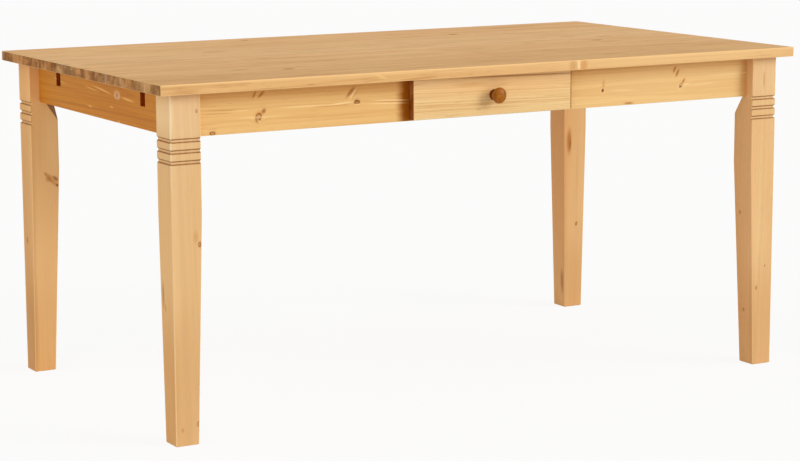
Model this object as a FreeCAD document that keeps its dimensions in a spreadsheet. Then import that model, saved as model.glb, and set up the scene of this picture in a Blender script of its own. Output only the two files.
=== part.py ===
import FreeCAD, Part
import math
import os
import re

import Sketcher
from FreeCAD import Placement, Rotation, Vector

# A dining table in oiled pine: a top glued up from staves, four tapered legs bolted into the corners
# of an apron frame, a drawer in the front apron, and slots in the end aprons for clip-on leaves.
# Frame: origin on the floor under the middle of the top, +X along the length, -Y towards the drawer,
# +Z up. All lengths are in millimetres.

# Driving sizes. A name ending in count is a whole number.
SIZES = {
    # Table top
    "table_height": 750,
    "top_length": 1600,
    "top_width": 900,
    "top_thickness": 22,
    "top_round": 2.5,
    "stave_count": 8,
    "end_overhang": 30,
    "side_overhang": 25,
    # Legs, with the grooves of their outer faces and the cut of their inner corner
    "leg_size": 68,
    "leg_round": 2,
    "foot_size": 52,
    "taper_start": 478,
    "groove_count": 3,
    "groove_height": 588,
    "groove_pitch": 22.5,
    "groove_mouth": 9,
    "groove_floor": 4,
    "groove_depth": 3,
    "cut_overlap": 5,
    "cut_runout": 46,
    # Aprons, and the slots that take the bearers of a clip-on leaf
    "apron_height": 92,
    "apron_thickness": 18,
    "apron_recess": 24,
    "apron_round": 1.5,
    "slot_width": 25,
    "slot_depth": 44,
    "slot_spacing": 472,
    "bearer_reach": 320,
    "rail_thickness": 20,
    # Window in the front apron, with the strips that carry and hold down the drawer
    "window_sill": 16,
    "window_head": 12,
    "runner_width": 16,
    # Drawer
    "drawer_width": 366,
    "drawer_depth": 420,
    "drawer_board": 12,
    "drawer_side_gap": 1.5,
    "drawer_running_gap": 0.3,
    "drawer_head_gap": 1.7,
    "front_thickness": 18,
    "front_overlap": 19.5,
    "front_top_gap": 1.5,
    "front_rise": 3,
    "front_seat_gap": 0.5,
    "front_round": 2,
    "bottom_thickness": 4,
    "bottom_rise": 8,
    "bottom_tongue": 5,
    "bottom_gap": 0.2,
    # Turned knob
    "knob_diameter": 35,
    "knob_projection": 30,
    "knob_cap_depth": 17,
    "knob_neck_diameter": 9,
    "knob_base_diameter": 24,
    "knob_fillet": 3,
    # Corner brackets, with the bolt, washer and nut that draw each leg into its corner
    "plate_thickness": 2.5,
    "plate_height": 50,
    "plate_standoff": 30,
    "flange_length": 36,
    "bolt_diameter": 8,
    "bolt_hold": 55,
    "bolt_spare": 5,
    "bolt_point": 6,
    "washer_diameter": 20,
    "washer_thickness": 1.6,
    "nut_width": 13,
    "nut_height": 6.5,
    # Steel angles that hold the top
    "angle_leaf": 25,
    "angle_width": 16,
    "angle_thickness": 2,
    "angle_hole_offset": 15,
    # Screws
    "screw_diameter": 4,
    "screw_head_diameter": 8,
    "screw_head_height": 2.5,
    "screw_point": 4,
    "short_screw_length": 16,
    "long_screw_length": 30,
    # Dowels of the rails and of the drawer
    "dowel_diameter": 8,
    "dowel_length": 30,
    "dowel_in_apron": 12,
    "drawer_dowel_diameter": 6,
    "drawer_dowel_length": 24,
    "drawer_dowel_in_front": 12,
    "drawer_dowel_in_side": 9,
    "dowel_end_gap": 0.5,
    # Room round a shank or dowel in its bore, room round one that passes through steel, and cutters' overrun
    "bore_gap": 0.1,
    "hole_gap": 0.3,
    "overrun": 5,
}

# Places and sizes that follow from the driving sizes
PLACES = {
    "top_underside": "table_height - top_thickness",
    "stave_width": "top_width / stave_count",
    "apron_bottom": "top_underside - apron_height",
    "apron_middle": "top_underside - apron_height / 2",
    "leg_face_x": "top_length / 2 - end_overhang",
    "leg_face_y": "top_width / 2 - side_overhang",
    "apron_end_x": "leg_face_x - leg_size",
    "apron_end_y": "leg_face_y - leg_size",
    "apron_middle_x": "leg_face_x - apron_recess - apron_thickness / 2",
    "apron_middle_y": "leg_face_y - apron_recess - apron_thickness / 2",
    "frame_inside_x": "leg_face_x - apron_recess - apron_thickness",
    "frame_inside_y": "leg_face_y - apron_recess - apron_thickness",
    "inner_corner": "leg_size - apron_recess - apron_thickness",
    "corner_cut": "inner_corner + cut_overlap",
    "cut_reach": "inner_corner - cut_overlap",
    "window_width": "drawer_width + 2 * drawer_side_gap",
    "window_height": "apron_height - window_sill - window_head",
    "window_middle": "apron_bottom + window_sill + window_height / 2",
    "guide_rail_x": "(window_width + rail_thickness) / 2",
    "bearer_rail_x": "frame_inside_x - bearer_reach",
    "runner_x": "(window_width - runner_width) / 2",
    "runner_face_x": "window_width / 2 - runner_width",
    "runner_middle": "apron_bottom + window_sill / 2",
    "kicker_middle": "top_underside - window_head / 2",
    "drawer_bottom_edge": "apron_bottom + window_sill + drawer_running_gap",
    "drawer_height": "window_height - drawer_running_gap - drawer_head_gap",
    "drawer_middle": "drawer_bottom_edge + drawer_height / 2",
    "drawer_inside": "drawer_width - 2 * drawer_board",
    "side_middle_x": "(drawer_width - drawer_board) / 2",
    "front_back_y": "leg_face_y - apron_recess + front_seat_gap",
    "front_face_y": "front_back_y + front_thickness",
    "front_width": "drawer_width + 2 * front_overlap",
    "front_height": "apron_height - front_top_gap - front_rise",
    "front_middle": "apron_bottom + front_rise + front_height / 2",
    "drawer_end_y": "drawer_depth - front_back_y",
    "bottom_middle": "drawer_bottom_edge + bottom_rise + bottom_thickness / 2",
    "bottom_width": "drawer_inside + 2 * bottom_tongue",
    "bottom_depth": "drawer_depth - drawer_board + 2 * bottom_tongue",
    "bottom_middle_y": "(drawer_depth - drawer_board) / 2 - front_back_y",
    "knob_cap_middle": "knob_projection - knob_cap_depth / 2",
    "web_end": "cut_reach + plate_standoff",
    "web_bend": "web_end + plate_thickness * (sqrt(2) - 1)",
    "flange_end": "web_end + flange_length",
    "plate_distance": "plate_standoff / sqrt(2) + plate_thickness",
    "washer_distance": "plate_distance + washer_thickness",
    "nut_distance": "washer_distance + nut_height",
    "bolt_distance": "nut_distance + bolt_spare",
    "bolt_length": "bolt_distance + bolt_hold",
    "bolt_radius": "bolt_diameter / 2",
    "bolt_bore_radius": "bolt_radius + bore_gap",
    "bolt_hole_radius": "bolt_radius + hole_gap",
    "screw_radius": "screw_diameter / 2",
    "screw_bore_radius": "screw_radius + bore_gap",
    "screw_hole_radius": "screw_radius + hole_gap",
    "inner_angle_x": "(guide_rail_x + bearer_rail_x) / 2",
    "outer_angle_x": "(bearer_rail_x + rail_thickness / 2 + frame_inside_x - flange_end) / 2",
    "end_angle_y": "stave_width / 2",
}

# Places along a piece, as shares of its length or height
FLANGE_SCREW_SHARES = (0.3, 0.75)
RAIL_DOWEL_SHARES = (0.25, 0.75)
DRAWER_DOWEL_SHARES = (0.4, 0.8)
STRIP_SCREW_SHARES = (-0.7, 0.1, 0.7)

UP = Vector(0, 0, 1)
CORNERS = {
    "front_left": (-1, -1),
    "front_right": (1, -1),
    "back_right": (1, 1),
    "back_left": (-1, 1),
}
SIDES = {"left": -1, "right": 1}
ENDS = {"front": -1, "back": 1}

doc = FreeCAD.newDocument("table")
sheet = doc.addObject("Spreadsheet::Sheet", "Sizes")
for row, (alias, value) in enumerate(SIZES.items(), start=1):
    sheet.set(f"A{row}", str(value))
    sheet.setAlias(f"A{row}", alias)
doc.recompute()
pieces = []


def formula(words):
    """Spells out a formula of named sizes and places as an expression on the sheet's cells."""

    def spell(match):
        word = match.group()
        if word in PLACES:
            return f"({formula(PLACES[word])})"
        return f"Sizes.{word}" if word in SIZES else word

    return re.sub(r"[a-z_]+", spell, words)


def bind(thing, formulas):
    """Binds properties of an object to formulas."""
    for name, words in formulas.items():
        thing.setExpression(name, formula(words))


def place(thing, at, turn=None):
    """Turns an object, then ties its position to three formulas."""
    thing.Placement = Placement(Vector(), turn or Rotation())
    bind(thing, {f"Placement.Base.{axis}": words for axis, words in zip("xyz", at)})


def keep(thing, label):
    """Names an object as one of the finished pieces."""
    thing.Label = label
    pieces.append(thing)
    return thing


def block(name, centre, size):
    """A plain block about a centre."""
    box = doc.addObject("Part::Box", name)
    bind(box, dict(zip(("Length", "Width", "Height"), size)))
    place(box, [f"{middle} - ({length}) / 2" for middle, length in zip(centre, size)])
    return box


def drill(name, radius, length):
    """A round cutter that starts at its origin and runs along +Z."""
    cylinder = doc.addObject("Part::Cylinder", name)
    bind(cylinder, {"Radius": radius, "Height": length})
    return cylinder


def group(name, piece, spots):
    """Copies of one piece at many spots, each a position and a turn."""
    copies = []
    for at, turn in spots:
        copy = doc.addObject("App::Link", f"{name}_copy")
        copy.LinkedObject = piece
        place(copy, at, turn)
        copies.append(copy)
    together = doc.addObject("Part::Compound", name)
    together.Links = copies
    return together


def without(name, piece, *cutters):
    """A piece less its cutters, one after another."""
    for number, cutter in enumerate(cutters):
        cut = doc.addObject("Part::Cut", f"{name}_cut_{number}")
        cut.Base = piece
        cut.Tool = cutter
        piece = cut
    return piece


def origin_part(body, role):
    """One of a body's own origin planes or axes."""
    return next(part for part in body.Origin.OriginFeatures if part.Role == role)


def new_sketch(body, name, plane, turn=0, lift="0"):
    """A sketch on an origin plane, turned about the plane's own upright and lifted along its normal."""
    sketch = body.newObject("Sketcher::SketchObject", name)
    sketch.AttachmentSupport = [(origin_part(body, plane), "")]
    sketch.MapMode = "FlatFace"
    turned = Rotation(Vector(0, 1, 0), turn)
    normal = turned.multVec(UP)
    sketch.AttachmentOffset = Placement(Vector(), turned)
    bind(sketch, {
        "AttachmentOffset.Base.x": f"{normal.x} * ({lift})",
        "AttachmentOffset.Base.z": f"{normal.z} * ({lift})",
    })
    return sketch


def dimension(sketch, name, constraint, words):
    """Adds a named dimension to a sketch and ties it to a formula."""
    index = sketch.addConstraint(constraint)
    sketch.renameConstraint(index, name)
    bind(sketch, {f"Constraints.{name}": words})


def draw_outline(sketch, corners):
    """Draws a closed outline of straight lines whose corners are pairs of formulas."""
    count = len(corners)
    turns = [2 * math.pi * number / count for number in range(count)]
    start = [Vector(math.cos(turn), math.sin(turn), 0) for turn in turns]
    for number in range(count):
        sketch.addGeometry(Part.LineSegment(start[number], start[(number + 1) % count]))
    for number in range(count):
        sketch.addConstraint(Sketcher.Constraint("Coincident", number, 2, (number + 1) % count, 1))
    for number, corner in enumerate(corners):
        for axis, words in zip("XY", corner):
            distance = Sketcher.Constraint(f"Distance{axis}", -1, 1, number, 1, 1)
            dimension(sketch, f"corner_{number}_{axis}", distance, words)


def draw_circle(sketch, centre, radius):
    """Draws a circle whose centre is a pair of formulas."""
    number = sketch.addGeometry(Part.Circle(Vector(1, 1, 0), UP, 1))
    dimension(sketch, f"radius_{number}", Sketcher.Constraint("Radius", number, 1), radius)
    for axis, words in zip("XY", centre):
        distance = Sketcher.Constraint(f"Distance{axis}", -1, 1, number, 3, 1)
        dimension(sketch, f"centre_{number}_{axis}", distance, words)


def draw_rounded_square(sketch, side, radius):
    """Draws a square with one corner at the origin and all four corners rounded."""
    for number in range(4):
        angle = math.radians(90 * number)
        along = Vector(math.cos(angle), math.sin(angle), 0)
        out = Vector(math.sin(angle), -math.cos(angle), 0)
        edge = Vector(2, 2, 0) + out * 2
        sketch.addGeometry(Part.LineSegment(edge - along, edge + along))
        corner = Part.Circle(edge - out + along, UP, 1)
        sketch.addGeometry(Part.ArcOfCircle(corner, angle - math.pi / 2, angle))
    for number in range(8):
        sketch.addConstraint(Sketcher.Constraint("Tangent", number, 2, (number + 1) % 8, 1))
    for number in (0, 4):
        sketch.addConstraint(Sketcher.Constraint("Horizontal", number))
    for number in (2, 6):
        sketch.addConstraint(Sketcher.Constraint("Vertical", number))
    for number in (3, 5, 7):
        sketch.addConstraint(Sketcher.Constraint("Equal", 1, number))
    sketch.addConstraint(Sketcher.Constraint("PointOnObject", 0, 1, -1))
    sketch.addConstraint(Sketcher.Constraint("PointOnObject", 6, 1, -2))
    dimension(sketch, "corner_radius", Sketcher.Constraint("Radius", 1, 1), radius)
    dimension(sketch, "width", Sketcher.Constraint("DistanceX", -1, 1, 2, 1, 1), side)
    dimension(sketch, "depth", Sketcher.Constraint("DistanceY", -1, 1, 4, 1, 1), side)


def pad(body, name, sketch, length, side_type="One side"):
    """Raises a sketch by a length."""
    feature = body.newObject("PartDesign::Pad", name)
    feature.Profile = sketch
    feature.SideType = side_type
    bind(feature, {"Length": length})
    return feature


def pocket_through(body, name, sketch, side_type="Symmetric"):
    """Cuts a sketch right through, both ways or one way, and makes sure that it cut."""
    doc.recompute()
    before = body.Shape.Volume
    feature = body.newObject("PartDesign::Pocket", name)
    feature.Profile = sketch
    feature.Type = "ThroughAll"
    feature.SideType = side_type
    doc.recompute()
    if not feature.Shape.Volume < before:
        raise RuntimeError(f"{name} cuts nothing from {body.Name}")
    return feature


def revolve(body, name, corners):
    """Turns an outline of radius and height pairs about the Z axis."""
    sketch = new_sketch(body, f"{name}_profile", "XZ_Plane")
    draw_outline(sketch, corners)
    feature = body.newObject("PartDesign::Revolution", name)
    feature.Profile = sketch
    feature.ReferenceAxis = (sketch, ["V_Axis"])
    feature.Angle = 360
    return feature


def round_edges(body, radius, chosen):
    """Rounds the edges of a body that a test picks."""
    doc.recompute()
    base = body.Tip
    names = [f"Edge{number}" for number, edge in enumerate(base.Shape.Edges, 1) if chosen(edge)]
    feature = body.newObject("PartDesign::Fillet", f"{body.Name}_rounding")
    feature.Base = (base, names)
    bind(feature, {"Radius": radius})


def board(name, centre, size, radius, chosen=lambda edge: True):
    """A board about a centre, with the picked edges rounded."""
    body = doc.addObject("PartDesign::Body", name)
    half_x, half_y = f"({size[0]}) / 2", f"({size[1]}) / 2"
    sketch = new_sketch(body, f"{name}_plan", "XY_Plane")
    signs = ((-1, -1), (1, -1), (1, 1), (-1, 1))
    draw_outline(sketch, [(f"{x} * {half_x}", f"{y} * {half_y}") for x, y in signs])
    pad(body, f"{name}_pad", sketch, size[2], "Symmetric")
    round_edges(body, radius, chosen)
    place(body, centre)
    return body


def lower_long_edge(edge):
    """Picks the two long lower edges of an apron."""
    low = edge.CenterOfMass.z < 0
    return low and edge.Length > max(sheet.get("apron_height"), sheet.get("apron_thickness"))


def signed(sign, words):
    """A formula on the left, front or back, as the sign says."""
    return f"{sign} * ({words})"


def facing(x, y, z):
    """The turn that points +Z along a direction."""
    return Rotation(UP, Vector(x, y, z))


def corner_spot(signs, distance):
    """A spot on a leg's bolt line, at a distance from the cut inner corner, looking into the leg."""
    at = [
        signed(sign, f"frame_inside_{axis} - cut_reach / 2 - {distance} / sqrt(2)")
        for sign, axis in zip(signs, "xy")
    ]
    return [*at, "apron_middle"], facing(*signs, 0)


def corner_turn(signs):
    """The quarter turns that carry a piece of the front left corner to another corner."""
    quarter_turns = list(CORNERS.values()).index(signs)
    return Rotation(UP, 90 * quarter_turns)


# Screws, dowels and bolts, each along +Z from its seat or its free end


def make_screw(name, length):
    body = doc.addObject("PartDesign::Body", name)
    revolve(body, f"{name}_turning", [
        ("0", "-screw_head_height"),
        ("screw_head_diameter / 2", "-screw_head_height"),
        ("screw_head_diameter / 2", "0"),
        ("screw_radius", "0"),
        ("screw_radius", f"{length} - screw_point"),
        ("0", length),
    ])
    return body


def make_dowel(name, diameter, length):
    body = doc.addObject("PartDesign::Body", name)
    revolve(body, f"{name}_turning", [
        ("0", "dowel_end_gap"),
        (f"{diameter} / 2", "dowel_end_gap"),
        (f"{diameter} / 2", f"{length} - dowel_end_gap"),
        ("0", f"{length} - dowel_end_gap"),
    ])
    return body


def make_bolt():
    body = doc.addObject("PartDesign::Body", "hanger_bolt")
    revolve(body, "hanger_bolt_turning", [
        ("0", "0"),
        ("bolt_radius", "0"),
        ("bolt_radius", "bolt_length - bolt_point"),
        ("0", "bolt_length"),
    ])
    return body


def make_washer():
    disc = drill("washer_disc", "washer_diameter / 2", "washer_thickness")
    hole = drill("washer_hole", "bolt_hole_radius", "washer_thickness")
    return without("washer", disc, hole)


def make_nut():
    prism = doc.addObject("Part::Prism", "nut_prism")
    prism.Polygon = 6
    bind(prism, {"Circumradius": "nut_width / sqrt(3)", "Height": "nut_height"})
    hole = drill("nut_hole", "bolt_bore_radius", "nut_height")
    return without("nut", prism, hole)


short_screw = make_screw("short_screw", "short_screw_length")
long_screw = make_screw("long_screw", "long_screw_length")
short_bore = drill("short_screw_bore", "screw_bore_radius", "short_screw_length")
long_bore = drill("long_screw_bore", "screw_bore_radius", "long_screw_length")
rail_dowel = make_dowel("rail_dowel", "dowel_diameter", "dowel_length")
rail_dowel_bore = drill("rail_dowel_bore", "dowel_diameter / 2 + bore_gap", "dowel_length")
drawer_dowel = make_dowel("drawer_dowel", "drawer_dowel_diameter", "drawer_dowel_length")
drawer_dowel_bore = drill(
    "drawer_dowel_bore", "drawer_dowel_diameter / 2 + bore_gap", "drawer_dowel_length"
)

# Spots of the fastenings

bracket_screw_spots = []
for x_sign, y_sign in CORNERS.values():
    for share in FLANGE_SCREW_SHARES:
        along = f"web_end + {share} * flange_length"
        at_x = signed(x_sign, f"frame_inside_x - ({along})")
        at_y = signed(y_sign, "frame_inside_y - plate_thickness")
        bracket_screw_spots.append(([at_x, at_y, "apron_middle"], facing(0, y_sign, 0)))
        at_x = signed(x_sign, "frame_inside_x - plate_thickness")
        at_y = signed(y_sign, f"frame_inside_y - ({along})")
        bracket_screw_spots.append(([at_x, at_y, "apron_middle"], facing(x_sign, 0, 0)))

angle_spots = []
angle_screw_spots = []
for y_sign in ENDS.values():
    for x_sign in SIDES.values():
        for angle_x in ("inner_angle_x", "outer_angle_x"):
            at_x = signed(x_sign, angle_x)
            turn = Rotation(UP, 180 if y_sign > 0 else 0)
            angle_spots.append(([at_x, signed(y_sign, "frame_inside_y"), "top_underside"], turn))
            seat = signed(y_sign, "frame_inside_y - angle_thickness")
            beside = signed(y_sign, "frame_inside_y - angle_hole_offset")
            angle_screw_spots += [
                ([at_x, seat, "top_underside - angle_hole_offset"], facing(0, y_sign, 0)),
                ([at_x, beside, "top_underside - angle_thickness"], facing(0, 0, 1)),
            ]
for x_sign in SIDES.values():
    for y_sign in ENDS.values():
        at_y = signed(y_sign, "end_angle_y")
        angle_spots.append(
            ([signed(x_sign, "frame_inside_x"), at_y, "top_underside"], Rotation(UP, 90 * x_sign))
        )
        seat = signed(x_sign, "frame_inside_x - angle_thickness")
        beside = signed(x_sign, "frame_inside_x - angle_hole_offset")
        angle_screw_spots += [
            ([seat, at_y, "top_underside - angle_hole_offset"], facing(x_sign, 0, 0)),
            ([beside, at_y, "top_underside - angle_thickness"], facing(0, 0, 1)),
        ]

rail_dowel_spots = []
for x_sign in SIDES.values():
    for rail_x in ("guide_rail_x", "bearer_rail_x"):
        for y_sign in ENDS.values():
            for share in RAIL_DOWEL_SHARES:
                at = [
                    signed(x_sign, rail_x),
                    signed(y_sign, "frame_inside_y + dowel_in_apron"),
                    f"apron_bottom + {share} * apron_height",
                ]
                rail_dowel_spots.append((at, facing(0, -y_sign, 0)))

strip_screw_spots = []
for x_sign in SIDES.values():
    for height in ("runner_middle", "kicker_middle"):
        for share in STRIP_SCREW_SHARES:
            at = [signed(x_sign, "runner_face_x"), f"{share} * frame_inside_y", height]
            strip_screw_spots.append((at, facing(x_sign, 0, 0)))

drawer_dowel_spots = []
for x_sign in SIDES.values():
    for share in DRAWER_DOWEL_SHARES:
        height = f"drawer_bottom_edge + {share} * drawer_height"
        at = [signed(x_sign, "side_middle_x"), "-(front_back_y + drawer_dowel_in_front)", height]
        drawer_dowel_spots.append((at, facing(0, 1, 0)))
        at_x = signed(x_sign, "drawer_inside / 2 + drawer_dowel_in_side")
        at = [at_x, "drawer_end_y - drawer_board / 2", height]
        drawer_dowel_spots.append((at, facing(-x_sign, 0, 0)))

knob_screw_spot = (["0", "-front_back_y", "front_middle"], facing(0, -1, 0))

bracket_screw_bores = group("bracket_screw_bores", short_bore, bracket_screw_spots)
angle_screw_bores = group("angle_screw_bores", short_bore, angle_screw_spots)
rail_dowel_bores = group("rail_dowel_bores", rail_dowel_bore, rail_dowel_spots)
strip_screw_bores = group("strip_screw_bores", long_bore, strip_screw_spots)
drawer_dowel_bores = group("drawer_dowel_bores", drawer_dowel_bore, drawer_dowel_spots)
knob_screw_bore = group("knob_screw_bore", long_bore, [knob_screw_spot])


# Table top: one rounded panel, cut into staves along the glue joints


def make_top():
    panel = board(
        "top_panel",
        ("0", "0", "table_height - top_thickness / 2"),
        ("top_length", "top_width", "top_thickness"),
        "top_round",
    )
    bored = without("top", panel, angle_screw_bores)
    for number in range(int(sheet.get("stave_count"))):
        strip = block(
            f"stave_strip_{number}",
            ("0", f"stave_width * ({number} + 0.5) - top_width / 2", "table_height - top_thickness / 2"),
            ("top_length + 2 * overrun", "stave_width", "top_thickness + 2 * overrun"),
        )
        stave = doc.addObject("Part::MultiCommon", f"stave_{number}")
        stave.Shapes = [bored, strip]
        keep(stave, f"top_stave_{number + 1}")


# Legs: square above, tapered on the two inner faces below, grooved on the two outer faces


def make_leg(label, signs):
    body = doc.addObject("PartDesign::Body", label)
    foot = new_sketch(body, f"{label}_foot", "XY_Plane")
    draw_rounded_square(foot, "foot_size", "leg_round")
    knee = new_sketch(body, f"{label}_knee", "XY_Plane", lift="taper_start")
    draw_rounded_square(knee, "leg_size", "leg_round")
    taper = body.newObject("PartDesign::AdditiveLoft", f"{label}_taper")
    taper.Profile = foot
    taper.Sections = [knee]
    taper.Ruled = True
    pad(body, f"{label}_post", knee, "top_underside - taper_start")
    cut_leg_grooves(body, label)
    cut_leg_corner(body, label)
    place(body, (signed(signs[0], "leg_face_x"), signed(signs[1], "leg_face_y"), "0"), corner_turn(signs))
    keep(body, label)


def cut_leg_grooves(body, label):
    lower, upper = "groove_height - groove_mouth / 2", "groove_height + groove_mouth / 2"
    profile = [
        ("-overrun", lower),
        ("0", lower),
        ("groove_depth", "groove_height - groove_floor / 2"),
        ("groove_depth", "groove_height + groove_floor / 2"),
        ("0", upper),
        ("-overrun", upper),
    ]
    cuts = []
    for plane in ("XZ_Plane", "YZ_Plane"):
        sketch = new_sketch(body, f"{label}_groove_{plane}", plane)
        draw_outline(sketch, profile)
        cuts.append(pocket_through(body, f"{label}_groove_cut_{plane}", sketch))
    grooves = body.newObject("PartDesign::LinearPattern", f"{label}_grooves")
    grooves.Originals = cuts
    grooves.Direction = (origin_part(body, "Z_Axis"), [""])
    bind(grooves, {"Length": "groove_pitch * (groove_count - 1)", "Occurrences": "groove_count"})
    body.Tip = grooves


def cut_leg_corner(body, label):
    flat, corner = "(2 * leg_size - corner_cut) / sqrt(2)", "2 * leg_size / sqrt(2)"
    above, runout = "top_underside + overrun", "apron_bottom - cut_runout"
    sketch = new_sketch(body, f"{label}_corner", "XZ_Plane", turn=45)
    draw_outline(sketch, [
        (flat, above),
        (flat, "apron_bottom"),
        (corner, runout),
        (f"{corner} + overrun", runout),
        (f"{corner} + overrun", above),
    ])
    pocket_through(body, f"{label}_corner_cut", sketch)
    hole = new_sketch(body, f"{label}_bolt", "XZ_Plane", turn=-45, lift=f"bolt_hold - {flat}")
    draw_circle(hole, ("0", "apron_middle"), "bolt_bore_radius")
    pocket_through(body, f"{label}_bolt_bore", hole, "One side")


# Aprons


def make_bearer_ways():
    """The straight ways of the leaf bearers, from outside the end aprons through the bearer rails."""
    ways = doc.addObject("Part::Compound", "bearer_ways")
    far, near = "(leg_face_x + overrun)", "(bearer_rail_x - rail_thickness / 2 - overrun)"
    ways.Links = [
        block(
            f"bearer_way_{side}_{end}",
            (
                signed(x_sign, f"({far} + {near}) / 2"),
                signed(y_sign, "slot_spacing / 2"),
                "top_underside - slot_depth + (slot_depth + overrun) / 2",
            ),
            (f"{far} - {near}", "slot_width", "slot_depth + overrun"),
        )
        for side, x_sign in SIDES.items()
        for end, y_sign in ENDS.items()
    ]
    return ways


def make_aprons(bearer_ways):
    screw_bores = (bracket_screw_bores, angle_screw_bores)
    window = block(
        "drawer_window",
        ("0", "-apron_middle_y", "window_middle"),
        ("window_width", "apron_thickness + 2 * overrun", "window_height"),
    )
    for end, y_sign in ENDS.items():
        plank = board(
            f"{end}_plank",
            ("0", signed(y_sign, "apron_middle_y"), "apron_middle"),
            ("2 * apron_end_x", "apron_thickness", "apron_height"),
            "apron_round",
            lower_long_edge,
        )
        cutters = (*screw_bores, rail_dowel_bores)
        if end == "front":
            cutters = (window, *cutters)
        keep(without(f"{end}_apron", plank, *cutters), f"{end}_apron")
    for side, x_sign in SIDES.items():
        plank = board(
            f"{side}_plank",
            (signed(x_sign, "apron_middle_x"), "0", "apron_middle"),
            ("apron_thickness", "2 * apron_end_y", "apron_height"),
            "apron_round",
            lower_long_edge,
        )
        keep(without(f"{side}_apron", plank, bearer_ways, *screw_bores), f"{side}_apron")


# Rails between the long aprons, and the strips that guide the drawer


def make_rails(bearer_ways):
    rail_size = ("rail_thickness", "2 * frame_inside_y", "apron_height")
    for side, x_sign in SIDES.items():
        guide = block(f"guide_{side}", (signed(x_sign, "guide_rail_x"), "0", "apron_middle"), rail_size)
        guide = without(f"guide_rail_{side}", guide, rail_dowel_bores, strip_screw_bores)
        keep(guide, f"guide_rail_{side}")
        bearer = block(f"bearer_{side}", (signed(x_sign, "bearer_rail_x"), "0", "apron_middle"), rail_size)
        bearer = without(f"bearer_rail_{side}", bearer, bearer_ways, rail_dowel_bores)
        keep(bearer, f"bearer_rail_{side}")
        for strip, height, depth in (
            ("runner", "runner_middle", "window_sill"),
            ("kicker", "kicker_middle", "window_head"),
        ):
            blank = block(
                f"{strip}_blank_{side}",
                (signed(x_sign, "runner_x"), "0", height),
                ("runner_width", "2 * frame_inside_y", depth),
            )
            keep(without(f"{strip}_{side}", blank, strip_screw_bores), f"{strip}_{side}")


# Drawer


def make_drawer():
    bottom_centre = ("0", "bottom_middle_y", "bottom_middle")
    bottom_size = ("bottom_width", "bottom_depth", "bottom_thickness")
    seat_size = [f"{length} + 2 * bottom_gap" for length in bottom_size]
    seat = block("drawer_bottom_seat", bottom_centre, seat_size)
    keep(block("bottom_panel", bottom_centre, bottom_size), "drawer_bottom")
    face = board(
        "drawer_front_board",
        ("0", "-(front_back_y + front_face_y) / 2", "front_middle"),
        ("front_width", "front_thickness", "front_height"),
        "front_round",
    )
    face = without("drawer_front", face, seat, drawer_dowel_bores, knob_screw_bore)
    keep(face, "drawer_front")
    for side, x_sign in SIDES.items():
        plank = block(
            f"drawer_side_blank_{side}",
            (signed(x_sign, "side_middle_x"), "drawer_depth / 2 - front_back_y", "drawer_middle"),
            ("drawer_board", "drawer_depth", "drawer_height"),
        )
        keep(without(f"drawer_side_{side}", plank, seat, drawer_dowel_bores), f"drawer_side_{side}")
    plank = block(
        "drawer_back_blank",
        ("0", "drawer_end_y - drawer_board / 2", "drawer_middle"),
        ("drawer_inside", "drawer_board", "drawer_height"),
    )
    keep(without("drawer_back", plank, seat, drawer_dowel_bores), "drawer_back")


def make_knob():
    body = doc.addObject("PartDesign::Body", "knob_turning")
    revolve(body, "knob_neck", [
        ("0", "0"),
        ("knob_base_diameter / 2", "0"),
        ("knob_neck_diameter / 2", "knob_cap_middle"),
        ("0", "knob_cap_middle"),
    ])
    cap = body.newObject("PartDesign::AdditiveEllipsoid", "knob_cap")
    cap.AttachmentSupport = [(origin_part(body, "XY_Plane"), "")]
    cap.MapMode = "FlatFace"
    cap.Angle1 = -90
    cap.Angle2 = 90
    cap.Angle3 = 360
    bind(cap, {
        "Radius1": "knob_cap_depth / 2",
        "Radius2": "knob_diameter / 2",
        "Radius3": "knob_diameter / 2",
        "AttachmentOffset.Base.z": "knob_cap_middle",
    })
    round_edges(body, "knob_fillet", neck_ring)
    place(body, ("0", "-front_face_y", "front_middle"), facing(0, -1, 0))
    keep(without("drawer_knob", body, knob_screw_bore), "drawer_knob")


def neck_ring(edge):
    """Picks the ring where the knob's neck meets its cap."""
    if edge.Degenerated or not edge.isClosed():
        return False
    return edge.BoundBox.ZMin > 0 and edge.BoundBox.XLength < sheet.get("knob_base_diameter")


# Corner brackets and the angles under the top


def make_bracket(label, signs):
    body = doc.addObject("PartDesign::Body", label)
    strip = new_sketch(body, f"{label}_bend", "XY_Plane")
    draw_outline(strip, [
        ("flange_end", "0"),
        ("web_end", "0"),
        ("0", "web_end"),
        ("0", "flange_end"),
        ("plate_thickness", "flange_end"),
        ("plate_thickness", "web_bend"),
        ("web_bend", "plate_thickness"),
        ("flange_end", "plate_thickness"),
    ])
    pad(body, f"{label}_plate", strip, "plate_height", "Symmetric")
    hole = new_sketch(body, f"{label}_bolt", "XZ_Plane", turn=-45)
    draw_circle(hole, ("0", "0"), "bolt_hole_radius")
    pocket_through(body, f"{label}_bolt_hole", hole)
    for plane in ("XZ_Plane", "YZ_Plane"):
        holes = new_sketch(body, f"{label}_screws_{plane}", plane)
        for share in FLANGE_SCREW_SHARES:
            draw_circle(holes, (f"web_end + {share} * flange_length", "0"), "screw_hole_radius")
        pocket_through(body, f"{label}_screw_holes_{plane}", holes)
    at = (signed(signs[0], "frame_inside_x"), signed(signs[1], "frame_inside_y"), "apron_middle")
    place(body, at, corner_turn(signs))
    keep(body, label)


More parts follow.
